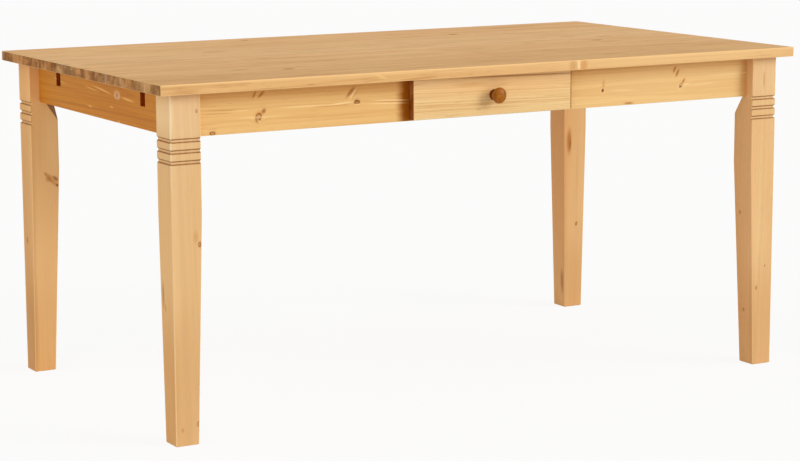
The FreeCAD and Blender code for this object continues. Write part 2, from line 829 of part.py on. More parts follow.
def make_angle():
    body = doc.addObject("PartDesign::Body", "top_angle")
    strip = new_sketch(body, "top_angle_bend", "YZ_Plane")
    draw_outline(strip, [
        ("0", "0"),
        ("angle_leaf", "0"),
        ("angle_leaf", "-angle_thickness"),
        ("angle_thickness", "-angle_thickness"),
        ("angle_thickness", "-angle_leaf"),
        ("0", "-angle_leaf"),
    ])
    pad(body, "top_angle_plate", strip, "angle_width", "Symmetric")
    for plane, at in (
        ("XY_Plane", ("0", "angle_hole_offset")),
        ("XZ_Plane", ("0", "-angle_hole_offset")),
    ):
        hole = new_sketch(body, f"top_angle_hole_{plane}", plane)
        draw_circle(hole, at, "screw_hole_radius")
        pocket_through(body, f"top_angle_bore_{plane}", hole)
    return body


def make_fastenings():
    for name, piece, distance in (
        ("hanger_bolts", make_bolt(), "bolt_distance"),
        ("bolt_washers", make_washer(), "washer_distance"),
        ("bolt_nuts", make_nut(), "nut_distance"),
    ):
        keep(group(name, piece, [corner_spot(signs, distance) for signs in CORNERS.values()]), name)
    for name, piece, spots in (
        ("bracket_screws", short_screw, bracket_screw_spots),
        ("top_angles", make_angle(), angle_spots),
        ("top_angle_screws", short_screw, angle_screw_spots),
        ("rail_dowels", rail_dowel, rail_dowel_spots),
        ("strip_screws", long_screw, strip_screw_spots),
        ("drawer_dowels", drawer_dowel, drawer_dowel_spots),
        ("knob_screw", long_screw, [knob_screw_spot]),
    ):
        keep(group(name, piece, spots), name)


def check_pieces():
    """Stops if any object failed or any finished piece is not a sound solid."""
    for thing in doc.Objects:
        if "Invalid" in thing.State or "Error" in thing.State:
            raise RuntimeError(f"{thing.Name} failed: {thing.State}")
    for piece in pieces:
        if piece.Shape.isNull() or not piece.Shape.isValid() or not piece.Shape.Solids:
            raise RuntimeError(f"{piece.Label} has no sound solid")


def write_pieces():
    os.makedirs("parts", exist_ok=True)
    for piece in pieces:
        piece.Shape.exportStep(f"parts/{piece.Label}.step")
        print(f"{piece.Label}: {len(piece.Shape.Solids)} solids, {piece.Shape.Volume:.0f} mm3")


make_top()
for corner, corner_signs in CORNERS.items():
    make_leg(f"leg_{corner}", corner_signs)
    make_bracket(f"corner_bracket_{corner}", corner_signs)
ways = make_bearer_ways()
make_aprons(ways)
make_rails(ways)
make_drawer()
make_knob()
make_fastenings()
doc.recompute()
check_pieces()
write_pieces()
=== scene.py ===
# %% [markdown]
# # A pine dining table with a drawer
# This lesson dresses a finished cabinet-maker's model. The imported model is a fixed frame: every
# board, screw and bracket already stands where it belongs, in metres. What is left to do is what a
# finisher does: grain, knots, oil, worn edges, light. We load the frame first and keep its box, so
# that at the end we can prove that nothing grew.

import bpy
import numpy as np
from mathutils import Matrix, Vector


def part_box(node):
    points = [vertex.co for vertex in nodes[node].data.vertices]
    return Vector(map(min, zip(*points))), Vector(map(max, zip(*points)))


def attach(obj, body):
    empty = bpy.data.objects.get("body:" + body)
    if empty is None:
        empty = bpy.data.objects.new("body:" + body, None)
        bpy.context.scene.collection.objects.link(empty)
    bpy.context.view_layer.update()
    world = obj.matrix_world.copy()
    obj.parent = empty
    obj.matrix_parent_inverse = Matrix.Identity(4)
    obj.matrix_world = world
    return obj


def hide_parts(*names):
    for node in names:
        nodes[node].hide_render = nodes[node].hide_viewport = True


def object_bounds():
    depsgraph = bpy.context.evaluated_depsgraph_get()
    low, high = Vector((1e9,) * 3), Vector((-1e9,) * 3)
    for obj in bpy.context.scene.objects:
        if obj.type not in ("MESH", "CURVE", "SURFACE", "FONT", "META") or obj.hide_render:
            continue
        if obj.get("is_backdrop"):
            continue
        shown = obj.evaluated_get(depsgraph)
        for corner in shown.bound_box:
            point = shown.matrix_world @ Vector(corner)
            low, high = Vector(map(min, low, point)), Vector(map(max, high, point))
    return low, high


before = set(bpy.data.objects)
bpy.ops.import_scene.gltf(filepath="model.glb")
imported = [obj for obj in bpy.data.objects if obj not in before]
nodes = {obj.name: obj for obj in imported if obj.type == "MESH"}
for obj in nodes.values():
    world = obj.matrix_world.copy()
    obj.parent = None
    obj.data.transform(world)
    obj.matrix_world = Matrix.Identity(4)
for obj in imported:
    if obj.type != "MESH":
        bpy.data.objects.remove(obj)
cad_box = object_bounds()
print("nodes loaded:", len(nodes), "box:", [tuple(round(x, 4) for x in c) for c in cad_box])

# %% [markdown]
# ## The camera
# A camera is a place, three axes and a lens. The place and the angles below were found by fitting
# the known edges of the table to the picture, as a surveyor would: the eye stands in front and to
# the left, a little above the top. We could aim with a constraint, but writing the three axes into
# the matrix keeps the picture's small lean as well.

# %% Stand the camera
IMAGE_WIDTH = 800
FOCAL_PIXELS = 2341.52
SENSOR_WIDTH = 36.0
EYE = np.array([-2.68076, -4.70864, 1.24135])
YAW, PITCH, ROLL = np.radians([29.68, 9.619, -0.254])


def camera_axes(yaw, pitch, roll):
    """Right, up and backward axes: turn by yaw about the vertical, tip down by pitch, lean by roll."""
    ahead = np.array([np.sin(yaw), np.cos(yaw), 0.0])
    right = np.array([np.cos(yaw), -np.sin(yaw), 0.0])
    up = np.array([0.0, 0.0, 1.0])
    aim = ahead * np.cos(pitch) - up * np.sin(pitch)
    lift = up * np.cos(pitch) + ahead * np.sin(pitch)
    leaning_right = right * np.cos(roll) + lift * np.sin(roll)
    leaning_up = lift * np.cos(roll) - right * np.sin(roll)
    return leaning_right, leaning_up, -aim


scene = bpy.context.scene
camera = bpy.data.objects.new("camera", bpy.data.cameras.new("camera"))
scene.collection.objects.link(camera)
pose = np.eye(4)
pose[:3, :3] = np.array(camera_axes(YAW, PITCH, ROLL)).T
pose[:3, 3] = EYE
camera.matrix_world = Matrix(pose.tolist())
camera.data.sensor_width = SENSOR_WIDTH
camera.data.lens = FOCAL_PIXELS * SENSOR_WIDTH / IMAGE_WIDTH
camera.data.clip_end = 200.0
scene.camera = camera
scene.view_settings.view_transform = "Standard"
print("lens:", round(camera.data.lens, 2), "mm")

# %% [markdown]
# ## Shader maths as Python
# A wood pattern is a page of arithmetic, and wiring that by hand hides the idea. One small class
# wraps a node's output, so that `a * 2 + b` adds the Math nodes for us. Every other node comes from
# its one method, `node`: the kind, the settings (set first, because they decide which sockets
# exist), then what goes into the sockets.

# %% A wire that can do sums
class Wire:
    """One output of a shader node; sums of Wires and numbers add Math nodes to the same tree."""

    def __init__(self, tree, socket=None):
        self.tree, self.socket = tree, socket

    def node(self, kind, settings=None, sockets=None, output=0):
        """A new node in the same tree: its settings, then its sockets by name or number."""
        made = self.tree.nodes.new(kind)
        for name, value in (settings or {}).items():
            setattr(made, name, value)
        open_inputs = [s for s in made.inputs if s.enabled]
        by_name = {s.name: s for s in reversed(open_inputs)}
        for name, value in (sockets or {}).items():
            target = open_inputs[name] if isinstance(name, int) else by_name[name]
            if isinstance(value, Wire):
                self.tree.links.new(value.socket, target)
            else:
                target.default_value = value
        outputs = [s for s in made.outputs if s.enabled]
        return Wire(self.tree, outputs[output] if outputs else None)

    def part(self, name):
        """Another output of the same node."""
        return Wire(self.tree, self.socket.node.outputs[name])

    def math(self, operation, *others):
        """A Math node with this Wire in its first socket and the others after it."""
        return self.node("ShaderNodeMath", {"operation": operation}, dict(enumerate((self, *others))))

    def __add__(self, other):
        return self.math("ADD", other)

    def __sub__(self, other):
        return self.math("SUBTRACT", other)

    def __rsub__(self, other):
        return self.node("ShaderNodeMath", {"operation": "SUBTRACT"}, {0: other, 1: self})

    def __mul__(self, other):
        return self.math("MULTIPLY", other)

    def __truediv__(self, other):
        return self.math("DIVIDE", other)


print("wires ready")

# %% Steps, mixes and colours
def smooth(value, low, high):
    """0 below low, 1 above high, an S-shaped step between; low above high turns the step round."""
    return value.node("ShaderNodeMapRange", {"interpolation_type": "SMOOTHSTEP"},
                      {"Value": value, "From Min": low, "From Max": high})


def mix(share, first, second):
    """The first colour where share is 0, the second where it is 1."""
    return share.node("ShaderNodeMix", {"data_type": "RGBA"},
                      {"Factor": share, "A": first, "B": second})


def colour(red, green, blue):
    """A colour as it looks on a screen, 0 to 255, turned into linear light by the screen's own curve."""
    shown = np.array([red, green, blue]) / 255.0
    linear = np.where(shown <= 0.04045, shown / 12.92, ((shown + 0.055) / 1.055) ** 2.4)
    return (*[float(x) for x in linear], 1.0)


print("a middle grey in linear light:", round(colour(128, 128, 128)[0], 3))

# %% The start and the end of each finish
def new_material(name):
    """An empty node material and a Wire to start sums from."""
    material = bpy.data.materials.new(name)
    material.use_nodes = True
    material.node_tree.nodes.clear()
    return material, Wire(material.node_tree)


def finish_material(start, base, roughness, bump_height, bump_depth, bump_strength, **constants):
    """The last nodes of a finish: a bump in metres, and the shader that takes colour and roughness."""
    bump = start.node("ShaderNodeBump", {}, {"Strength": bump_strength, "Distance": bump_depth,
                                             "Height": bump_height})
    sockets = {"Base Color": base, "Roughness": roughness, "Normal": bump}
    sockets.update({name.replace("_", " "): value for name, value in constants.items()})
    shader = start.node("ShaderNodeBsdfPrincipled", {}, sockets)
    start.node("ShaderNodeOutputMaterial", {}, {"Surface": shader})


def dress(material, *names):
    """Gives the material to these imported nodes."""
    for name in names:
        nodes[name].data.materials.clear()
        nodes[name].data.materials.append(material)


print("finish helpers ready")

# %% [markdown]
# ## Floor and light
# A white studio: a wide pale floor, a dome that lights all round, a broad white lamp from the front
# right and a broader, warmer one from the left that fills the shade. Stronger lamps would also turn
# the floor white, but would bleach the wood. So where the camera or a reflection sees the floor, part
# of it glows at strength 1, and the rest is lit like any floor and keeps the table's soft shadow. The
# lamps stay at a plain level, and a colour comes out about as we write it.

# %% Lay the floor
FLOOR_GLOW = 0.90
FLOOR_TONE = (0.92, 0.92, 0.92, 1.0)
WHITE = (1.0, 1.0, 1.0, 1.0)


def ring_quads(rings, spokes):
    """Corner numbers of the faces between each ring of points and the next, closed round the ring."""
    i, j = np.meshgrid(np.arange(rings - 1), np.arange(spokes), indexing="ij")
    k = (j + 1) % spokes
    corners = [i * spokes + j, i * spokes + k, (i + 1) * spokes + k, (i + 1) * spokes + j]
    return np.stack(corners, -1).reshape(-1, 4)


def floor_disc(radius, rings, spokes):
    """A flat disc: ring i of n lies at radius times (i / n) squared, spoke j at its share of a turn."""
    reach = radius * (np.arange(1, rings + 1) / rings) ** 2
    turn = np.linspace(0, 2 * np.pi, spokes, endpoint=False)
    x, y = np.outer(reach, np.cos(turn)), np.outer(reach, np.sin(turn))
    points = np.stack([x, y, np.zeros_like(x)], -1).reshape(-1, 3)
    faces = ring_quads(rings, spokes)[:, ::-1].tolist() + [list(range(spokes))]
    mesh = bpy.data.meshes.new("floor")
    mesh.from_pydata(points.tolist(), [], faces)
    return mesh


def seen_directly(start):
    """1 for rays that show a thing as itself: from the camera, in a reflection or through glass."""
    path = start.node("ShaderNodeLightPath")
    either = path.part("Is Camera Ray").math("MAXIMUM", path.part("Is Glossy Ray"))
    return either.math("MAXIMUM", path.part("Is Transmission Ray"))


floor = bpy.data.objects.new("floor", floor_disc(radius=60.0, rings=12, spokes=96))
scene.collection.objects.link(floor)
floor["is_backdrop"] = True
floor_paint, start = new_material("floor_paint")
glow = start.node("ShaderNodeEmission", {}, {"Color": WHITE, "Strength": 1.0})
matt = start.node("ShaderNodeBsdfDiffuse", {}, {"Color": FLOOR_TONE})
blend = start.node("ShaderNodeMixShader", {}, {0: seen_directly(start) * FLOOR_GLOW, 1: matt, 2: glow})
start.node("ShaderNodeOutputMaterial", {}, {"Surface": blend})
floor.data.materials.append(floor_paint)
print("floor faces:", len(floor.data.polygons))

# %% Light the room
DOME_STRENGTH = 0.38


def soft_lamp(name, strength, comes_from, angle, tint):
    """A sun as wide as angle in degrees; its own Z axis points back to where the light comes from."""
    back = np.array(comes_from) / np.linalg.norm(comes_from)
    side = np.cross([0.0, 0.0, 1.0], back)
    side /= np.linalg.norm(side)
    turn = np.eye(4)
    turn[:3, :3] = np.array([side, np.cross(back, side), back]).T
    lamp = bpy.data.objects.new(name, bpy.data.lights.new(name, "SUN"))
    lamp.data.energy, lamp.data.angle, lamp.data.color = strength, float(np.radians(angle)), tint
    lamp.matrix_world = Matrix(turn.tolist())
    scene.collection.objects.link(lamp)


world = bpy.data.worlds.new("studio")
world.use_nodes = True
world.node_tree.nodes.clear()
scene.world = world
start = Wire(world.node_tree)
dome_level = seen_directly(start) * (1.0 - DOME_STRENGTH) + DOME_STRENGTH
dome = start.node("ShaderNodeBackground", {}, {"Color": WHITE, "Strength": dome_level})
start.node("ShaderNodeOutputWorld", {}, {"Surface": dome})
soft_lamp("key", strength=1.85, comes_from=(0.72, -0.68, 0.36), angle=30.0, tint=(1.0, 1.0, 1.0))
soft_lamp("fill", strength=1.16, comes_from=(-0.86, -0.22, 0.42), angle=90.0, tint=(1.0, 0.90, 0.76))
print("dome and two lamps in place")

# %% [markdown]
# ## Pine
# A board is a slice of a trunk, so we model the trunk. Its rings are tubes round the pith, a line
# that runs beside the board and wanders a little. A point's distance from that line, divided by the
# width of a year, tells where in the year it grew: pale and soft in spring, dark and hard in late
# summer. One pattern in space then gives straight lines on a quarter face, arches on a flat face
# and arcs on the ends, and they all meet at the edges, which no image wrapped round a board does.
# A knot is a branch: an ellipse with its own tight rings that pushes the years aside. Marks are
# soft stains and pale streaks, and some are painted shade and painted highlights. Fibres, streaks
# and resin flecks are noises stretched along the grain.

# %% The coordinates of a board
GRAIN_FIRST = {"X": "XYZ", "Y": "YXZ", "Z": "ZXY"}
THROUGH_BOARD = 10.0


def board_place(start, along):
    """Place and normal with the grain first: along it, across, across, whichever way the board lies."""
    texture = start.node("ShaderNodeTexCoord")
    place = start.node("ShaderNodeSeparateXYZ", {}, {0: texture.part("Object")})
    facing = start.node("ShaderNodeSeparateXYZ", {}, {0: texture.part("Normal")})
    s, u, v = [place.part(axis) for axis in GRAIN_FIRST[along]]
    normal = [facing.part(axis).math("ABSOLUTE") for axis in GRAIN_FIRST[along]]
    joined = start.node("ShaderNodeCombineXYZ", {}, {0: s, 1: u, 2: v})
    return joined, s, u, v, normal


def spot(s, u, v, length, width, turn=0.0, through="v", deep=THROUGH_BOARD):
    """A knot or mark: its middle in board coordinates, its half sizes in metres, its turn in degrees,
    the axis that it goes through and its half size along that axis."""
    return ((s, u, v), length, width, float(np.radians(turn)), through, deep)


def on_face(u, deep=THROUGH_BOARD):
    """Gives a function that puts spots on the face of a board at u: s, v, half sizes and turn."""
    def face_spot(s, v, length, width, turn=0.0):
        return spot(s, u, v, length, width, turn, "u", deep)
    return face_spot


def face_marks(face_spot, *rows):
    """Marks, each a spot with its tone and strength, from rows of what face_spot takes, tone, strength."""
    return [(face_spot(*numbers), tone, strength) for *numbers, tone, strength in rows]


def ellipse(place, oval):
    """Distance from a spot's middle in its own half sizes: 0 in the middle, 1 on its outline."""
    at, length, width, turn, through, deep = oval
    tilt = {"s": (turn, 0.0, 0.0), "u": (0.0, turn, 0.0), "v": (0.0, 0.0, turn)}[through]
    size = {"s": (deep, length, width), "u": (length, deep, width), "v": (length, width, deep)}[through]
    local = place.node("ShaderNodeMapping", {"vector_type": "TEXTURE"},
                       {"Vector": place, "Location": at, "Rotation": tilt, "Scale": size})
    return place.node("ShaderNodeVectorMath", {"operation": "LENGTH"}, {0: local})


print("board coordinates ready")

# %% The noises in wood
# Cycles per metre along the grain and across it, the noise's own step from the board's seed, then
# detail and roughness. For the three on end grain, the second number is a share of its mottle.
NOISES = {
    "wavy": (1.6, 17.0, 3.1, 2.0, 0.55),
    "broad": (0.8, 9.0, 7.7, 2.0, 0.55),
    "streak": (1.5, 110.0, 11.3, 3.0, 0.62),
    "dash": (9.0, 150.0, 13.1, 2.0, 0.55),
    "fibre": (14.0, 900.0, 17.9, 2.0, 0.60),
    "fleck": (26.0, 520.0, 23.3, 1.0, 0.55),
    "band": (4.5, 40.0, 41.0, 3.0, 0.60),
    "lump": (70.0, 170.0, 37.0, 2.0, 0.55),
    "end_patch": (6.0, 1.0, 29.0, 3.0, 0.68),
    "end_blotch": (6.0, 0.3, 33.0, 2.0, 0.55),
    "end_speck": (6.0, 4.0, 31.0, 2.0, 0.55),
}


def grain_noise(place, along, across, seed, detail=2.0, roughness=0.55):
    """Noise drawn out along the grain, in cycles per metre; the seed moves it to another place."""
    scaled = place.node("ShaderNodeVectorMath", {"operation": "MULTIPLY_ADD"},
                        {0: place, 1: (along, across, across), 2: (seed, seed * 1.7, seed * 0.6)})
    return place.node("ShaderNodeTexNoise", {"noise_dimensions": "3D"},
                      {"Vector": scaled, "Scale": 1.0, "Detail": detail, "Roughness": roughness})


def wood_noise(place, kind, seed, mottle=1.0):
    """One of the noises listed above, for the board with this seed."""
    along, across, step, detail, roughness = NOISES[kind]
    return grain_noise(place, along, across * mottle, seed + step, detail, roughness)


print("noises in wood:", len(NOISES))

# %% Years and knots
WANDER_U, WANDER_V = (2.3, 0.004), (1.7, 0.003)
WAVY_REACH, KNOT_PUSH, KNOT_LUMPS = 0.010, 0.0065, 0.4
UNEVEN_PER_METRE, UNEVEN_YEARS = 90.0, 2.4


def ring_radius(s, u, v, wavy, pith, seed, slope):
    """Distance from the pith, which wanders as two slow waves (radians per metre, metres) and leans by
    slope; the wavy noise bends the rings."""
    wander_u = (s * WANDER_U[0] + seed).math("SINE") * WANDER_U[1]
    wander_v = (s * WANDER_V[0] + seed * 2).math("SINE") * WANDER_V[1] + s * slope
    across_u = u - pith[0] + wander_u
    across_v = v - pith[1] + wander_v
    return (across_u * across_u + across_v * across_v).math("SQRT") + (wavy - 0.5) * WAVY_REACH


def nearest_knot(place, knots, lump):
    """Distance to the nearest knot in that knot's half sizes, made uneven by a lumpy noise."""
    distances = [ellipse(place, knot) for knot in knots]
    nearest = distances[0]
    for other in distances[1:]:
        nearest = nearest.math("MINIMUM", other)
    return nearest + (lump - 0.5) * KNOT_LUMPS


def year_rings(start, radius, year, seed):
    """How far into late summer a point grew, 0 to 1, and how strongly its year is marked."""
    uneven = start.node("ShaderNodeTexNoise", {"noise_dimensions": "1D"},
                        {"W": radius * UNEVEN_PER_METRE + seed, "Scale": 1.0, "Detail": 1.0})
    years = radius / year + uneven * UNEVEN_YEARS
    within = years.math("FRACT")
    late = smooth(within, 0.2, 0.9) * smooth(within, 1.0, 0.93)
    vigour = start.node("ShaderNodeTexWhiteNoise", {"noise_dimensions": "1D"}, {"W": years.math("FLOOR")})
    return late, vigour


print("years and knots ready")

# %% The look of a knot and of a sawn end
PINE_KNOT = colour(214, 156, 92)
PINE_KNOT_HEART = colour(180, 118, 60)
PINE_KNOT_RIM = colour(124, 62, 10)
HALO_STRENGTH = 0.28


def paler_tone(tone):
    """A paler version of a tone: for rubbed and highlit edges, pale streaks and pale blotches."""
    return colour(*[min(255, 1.05 * c + 8) for c in tone])


def knot_look(base, nearest, lump, fibre, wavy, halo):
    """A halo, then the branch's own rings, then its dark bark rim; also gives the rim, which lies sunk."""
    halo_tone, halo_strength = halo
    ragged = nearest + (fibre - 0.5) * 0.2
    base = mix(smooth(ragged, 2.3, 1.1) * halo_strength, base, colour(*halo_tone))
    rings = (nearest * 13.0 + wavy * 5.0).math("SINE") * 0.5 + 0.5
    base = mix(smooth(ragged, 1.1, 0.75) * 0.85, base, mix(rings, PINE_KNOT_HEART, PINE_KNOT))
    rim = smooth(ragged, 0.62, 0.92) * smooth(ragged, 1.25, 1.0)
    return mix(rim * (lump + 0.3), base, PINE_KNOT_RIM), rim


def end_grain(place, late, seed, end_tones, mottle):
    """Sawn ends drink the oil: darker, greyer, mottled, with the years as arcs and dark specks."""
    pale, deep, line = [colour(*tone) for tone in end_tones]
    patch, blotch, speck = [wood_noise(place, kind, seed, mottle)
                            for kind in ("end_patch", "end_blotch", "end_speck")]
    base = mix(smooth(patch, 0.34, 0.66), pale, deep)
    base = mix(late * 0.35, base, line)
    base = mix(smooth(blotch, 0.5, 0.66) * 0.6, base, paler_tone(end_tones[0]))
    base = mix(smooth(blotch, 0.5, 0.34) * 0.5, base, line)
    return mix(smooth(speck, 0.6, 0.75) * 0.5, base, line)


print("knots and sawn ends ready")

# %% The pine finish
PINE_FLECK = colour(146, 96, 50)
PINE_BUMP = {"bump_depth": 0.0004, "bump_strength": 0.35}


def pine(name, along, tones, end_tones, pith, seed, year=0.0042, slope=0.006, contrast=0.5, streaks=0.3,
         dashes=0.25, bands=0.0, wear_and_highlight=0.6, knots=(), halo=None, marks=(), end_from=(0.6, 0.85), mottle=60.0,
         roughness=0.5, gloss=0.08, extra=None):
    """One board's own wood. tones are its pale, deep and late-summer colours, and pith is the pith's
    place across the board. contrast, streaks, dashes and bands say how strongly each one shows."""
    material, start = new_material(name)
    place, s, u, v, normal = board_place(start, along)
    pale, deep, late_tone = [colour(*tone) for tone in tones]
    wavy, broad, streak, fibre = [wood_noise(place, kind, seed)
                                  for kind in ("wavy", "broad", "streak", "fibre")]

    # Knots push the years aside; only the nearest knot counts at a point.
    radius = ring_radius(s, u, v, wavy, pith, seed, slope)
    if knots:
        lump = wood_noise(place, "lump", seed)
        nearest = nearest_knot(place, knots, lump)
        radius = radius - (nearest * nearest * -0.3).math("EXPONENT") * KNOT_PUSH
    late, vigour = year_rings(start, radius, year, seed)

    # Years, long soft streaks, short dashes, resin flecks and fine fibres, one over the other.
    dash = smooth(wood_noise(place, "dash", seed), 0.58, 0.76)
    fleck = smooth(wood_noise(place, "fleck", seed), 0.68, 0.78)
    base = mix(smooth(broad, 0.3, 0.72), pale, deep)
    base = mix(late * (vigour * 0.7 + 0.3) * contrast, base, late_tone)
    base = mix(smooth(streak, 0.5, 0.78) * streaks, base, late_tone)
    base = mix(smooth(streak, 0.46, 0.22) * (streaks * 0.8), base, paler_tone(tones[0]))
    base = mix(dash * dashes, base, late_tone)
    if bands:
        base = mix(smooth(wood_noise(place, "band", seed), 0.52, 0.74) * bands, base, late_tone)
    base = mix(fleck * (0.8 * dashes + 0.1), base, PINE_FLECK)
    base = mix(smooth(fibre, 0.45, 0.8) * 0.16, base, late_tone)
    rough = fibre * 0.16 + (roughness - 0.08) - late * 0.05
    height = fibre * 0.5 + (1.0 - fleck) * 0.35
    if knots:
        base, rim = knot_look(base, nearest, lump, fibre, wavy, halo or (tones[2], HALO_STRENGTH))
        height = height - rim * 0.8

    # Sawn ends, then the marks, which may lie on a face or on an end.
    sawn_end = smooth(normal[0], *end_from)
    base = mix(sawn_end, base, end_grain(place, late, seed, end_tones, mottle))
    for mark, tone, strength in marks:
        inside = smooth(ellipse(place, mark) + (streak - 0.5) * 0.5, 1.15, 0.25)
        base = mix(inside * strength, base, colour(*tone))

    # A rounded edge faces between the axes, so its normal has no part near 1: it is made paler, partly as
    # hands rub it and partly as a painted highlight.
    flattest = normal[0].math("MAXIMUM", normal[1]).math("MAXIMUM", normal[2])
    worn_and_highlit = smooth(flattest, 0.985, 0.88) * (1.0 - sawn_end)
    base = mix(worn_and_highlit * wear_and_highlight, base, paler_tone(tones[0]))
    if extra is not None:
        base = extra(place, base, streak, normal)
    finish_material(start, base, rough, height, **PINE_BUMP, Specular_IOR_Level=gloss)
    return material


print("pine finish ready")

# %% [markdown]
# ## The top
# Eight staves are glued edge to edge, each from its own tree. One finish for all would run straight
# across the joints, so a loop gives each its own pith, seed and slightly different tone. The oil has
# toned the top a little browner than the frame. The sawn ends show grey-brown arcs, with paler and
# darker patches where they drank less or more. The front stave has two brown upright bands on its
# front edge, with a pale line between them.

# %% Knots, dashes and stains of the top
stave_low, stave_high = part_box("top_stave_1")
TOP_LEFT, TOP_FRONT, TOP_UNDER = stave_low
TOP_FACE, STAVE_WIDTH = stave_high.z, stave_high.y - stave_low.y
STAVE_COUNT = sum(name.startswith("top_stave_") for name in nodes)
EDGE_MIDDLE, BAND_Y = (TOP_FACE + TOP_UNDER) / 2, TOP_FRONT - 0.002
EDGE_DEEP, BAND_DEEP = 0.004, 0.006
EDGE_BAND, EDGE_BAND_WARM = (194, 140, 76), (216, 148, 84)
TOP_DASH, DASH_STRENGTH = (170, 112, 58), 0.58
DASH_WIDTH, DASH_TURN, DASH_DEEP = 0.0075, 2.0, 0.004
stave_knots = {
    2: [spot(-0.43, -0.285, TOP_FACE, 0.01, 0.006, 12.0)],
    4: [spot(0.52, -0.052, TOP_FACE, 0.01, 0.007, -8.0)],
    7: [spot(0.31, 0.27, TOP_FACE, 0.01, 0.007, 5.0)],
    8: [spot(-0.2, 0.4, TOP_FACE, 0.008, 0.006, -15.0)],
}
stave_marks = {1: face_marks(
    on_face(TOP_FRONT, EDGE_DEEP),
    # A pale line along the upper edge of the front face is a painted highlight.
    (0.0, 0.752, 1.9, 0.012, (252, 212, 150), 0.5),
    (0.5, EDGE_MIDDLE, 0.55, 0.04, (250, 210, 150), 0.45),
) + face_marks(
    on_face(BAND_Y, BAND_DEEP),
    (0.185, EDGE_MIDDLE, 0.0135, 0.03, EDGE_BAND, 0.5),
    (0.214, EDGE_MIDDLE, 0.013, 0.03, EDGE_BAND_WARM, 0.7),
    (0.2003, EDGE_MIDDLE, 0.0044, 0.03, (255, 224, 170), 0.8),
    (-0.298, 0.741, 0.02, 0.004, 18.0, (246, 208, 140), 0.6),
)}
# A dash: its stave, its place on the top and its half length.
top_dashes = [
    (3, 0.274, -0.213, 0.0286), (3, 0.509, -0.242, 0.026), (4, 0.526, -0.096, 0.039),
    (4, 0.693, -0.137, 0.0312), (4, 0.336, -0.039, 0.0234), (5, 0.519, 0.073, 0.0364),
    (5, 0.592, 0.026, 0.0286), (6, 0.443, 0.224, 0.0442), (3, -0.262, -0.157, 0.0338),
    (4, -0.365, -0.038, 0.0286), (2, -0.529, -0.249, 0.0312), (6, -0.4, 0.155, 0.0338),
]
for stave, x, y, reach in top_dashes:
    dash = spot(x, y, TOP_FACE, reach, DASH_WIDTH, DASH_TURN, "v", DASH_DEEP)
    stave_marks.setdefault(stave, []).append((dash, TOP_DASH, DASH_STRENGTH))
# Stains on the sawn left end: place across the top, half width and tone.
end_stains = {
    1: [(-0.372, 0.003, (226, 190, 146)), (-0.33, 0.004, (96, 62, 34))],
    2: [(-0.235, 0.012, (120, 80, 46)), (-0.29, 0.02, (196, 138, 80))],
    3: [(-0.17, 0.008, (214, 176, 150)), (-0.125, 0.006, (104, 68, 38))],
    4: [(-0.044, 0.016, (116, 80, 48)), (-0.095, 0.012, (128, 88, 54))],
    5: [(0.098, 0.002, (232, 200, 156)), (0.06, 0.02, (150, 112, 80))],
    6: [(0.116, 0.004, (92, 58, 32)), (0.15, 0.014, (196, 132, 70))],
    7: [(0.262, 0.008, (110, 72, 42)), (0.31, 0.006, (100, 66, 40))],
    8: [(0.36, 0.016, (190, 130, 76)), (0.43, 0.012, (120, 88, 62))],
}
print("top dashes:", len(top_dashes), "end stains:", sum(map(len, end_stains.values())))

# %% Dress the staves
TOP_TONES = ((245, 202, 144), (237, 187, 128), (199, 140, 82))
TOP_END_TONES = ((203, 153, 99), (163, 113, 66), (115, 71, 33))
STAVE_SHADE = {1: (0.955, 0.943, 0.91), 2: (0.98, 0.965, 0.94)}
STAIN_HEIGHT, STAIN_TURN, STAIN_DEEP, STAIN_STRENGTH = 0.02, 8.0, 0.02, 0.48
# Least and most of each stave's draw: pith to one side, pith's depth, lean, tint and greyness.
DRAW_LEAST, DRAW_MOST = [-0.03, 0.045, -0.02, 0.99, 0.9], [0.03, 0.085, 0.02, 1.01, 1.08]
rng = np.random.default_rng(41)
for k in range(STAVE_COUNT):
    stave = k + 1
    side_shift, depth, lean, tint, grey = rng.uniform(DRAW_LEAST, DRAW_MOST)
    middle = TOP_FRONT + STAVE_WIDTH * (k + 0.5)
    pith = (middle + side_shift, TOP_FACE - depth if k % 2 else TOP_UNDER + depth)
    shade = STAVE_SHADE.get(stave, (1.0, 1.0, 1.0))
    tones = [tuple(min(255, c * tint * f) for c, f in zip(tone, shade)) for tone in TOP_TONES]
    end_tones = [(r, g * grey ** 0.5, b * grey) for r, g, b in TOP_END_TONES]
    stains = [(spot(TOP_LEFT, y, EDGE_MIDDLE, width, STAIN_HEIGHT, STAIN_TURN, "s", STAIN_DEEP),
               tone, STAIN_STRENGTH) for y, width, tone in end_stains[stave]]
    wood = pine(f"top_pine_{stave}", "X", tones, end_tones, pith, seed=5.0 + 9.3 * k, slope=lean,
                contrast=0.4, streaks=0.5, dashes=0.6, bands=0.45, wear_and_highlight=0.9, mottle=75.0, roughness=0.58,
                gloss=0.03, knots=stave_knots.get(stave, ()), marks=stave_marks.get(stave, []) + stains)
    dress(wood, f"top_stave_{stave}")
print("staves dressed:", STAVE_COUNT)
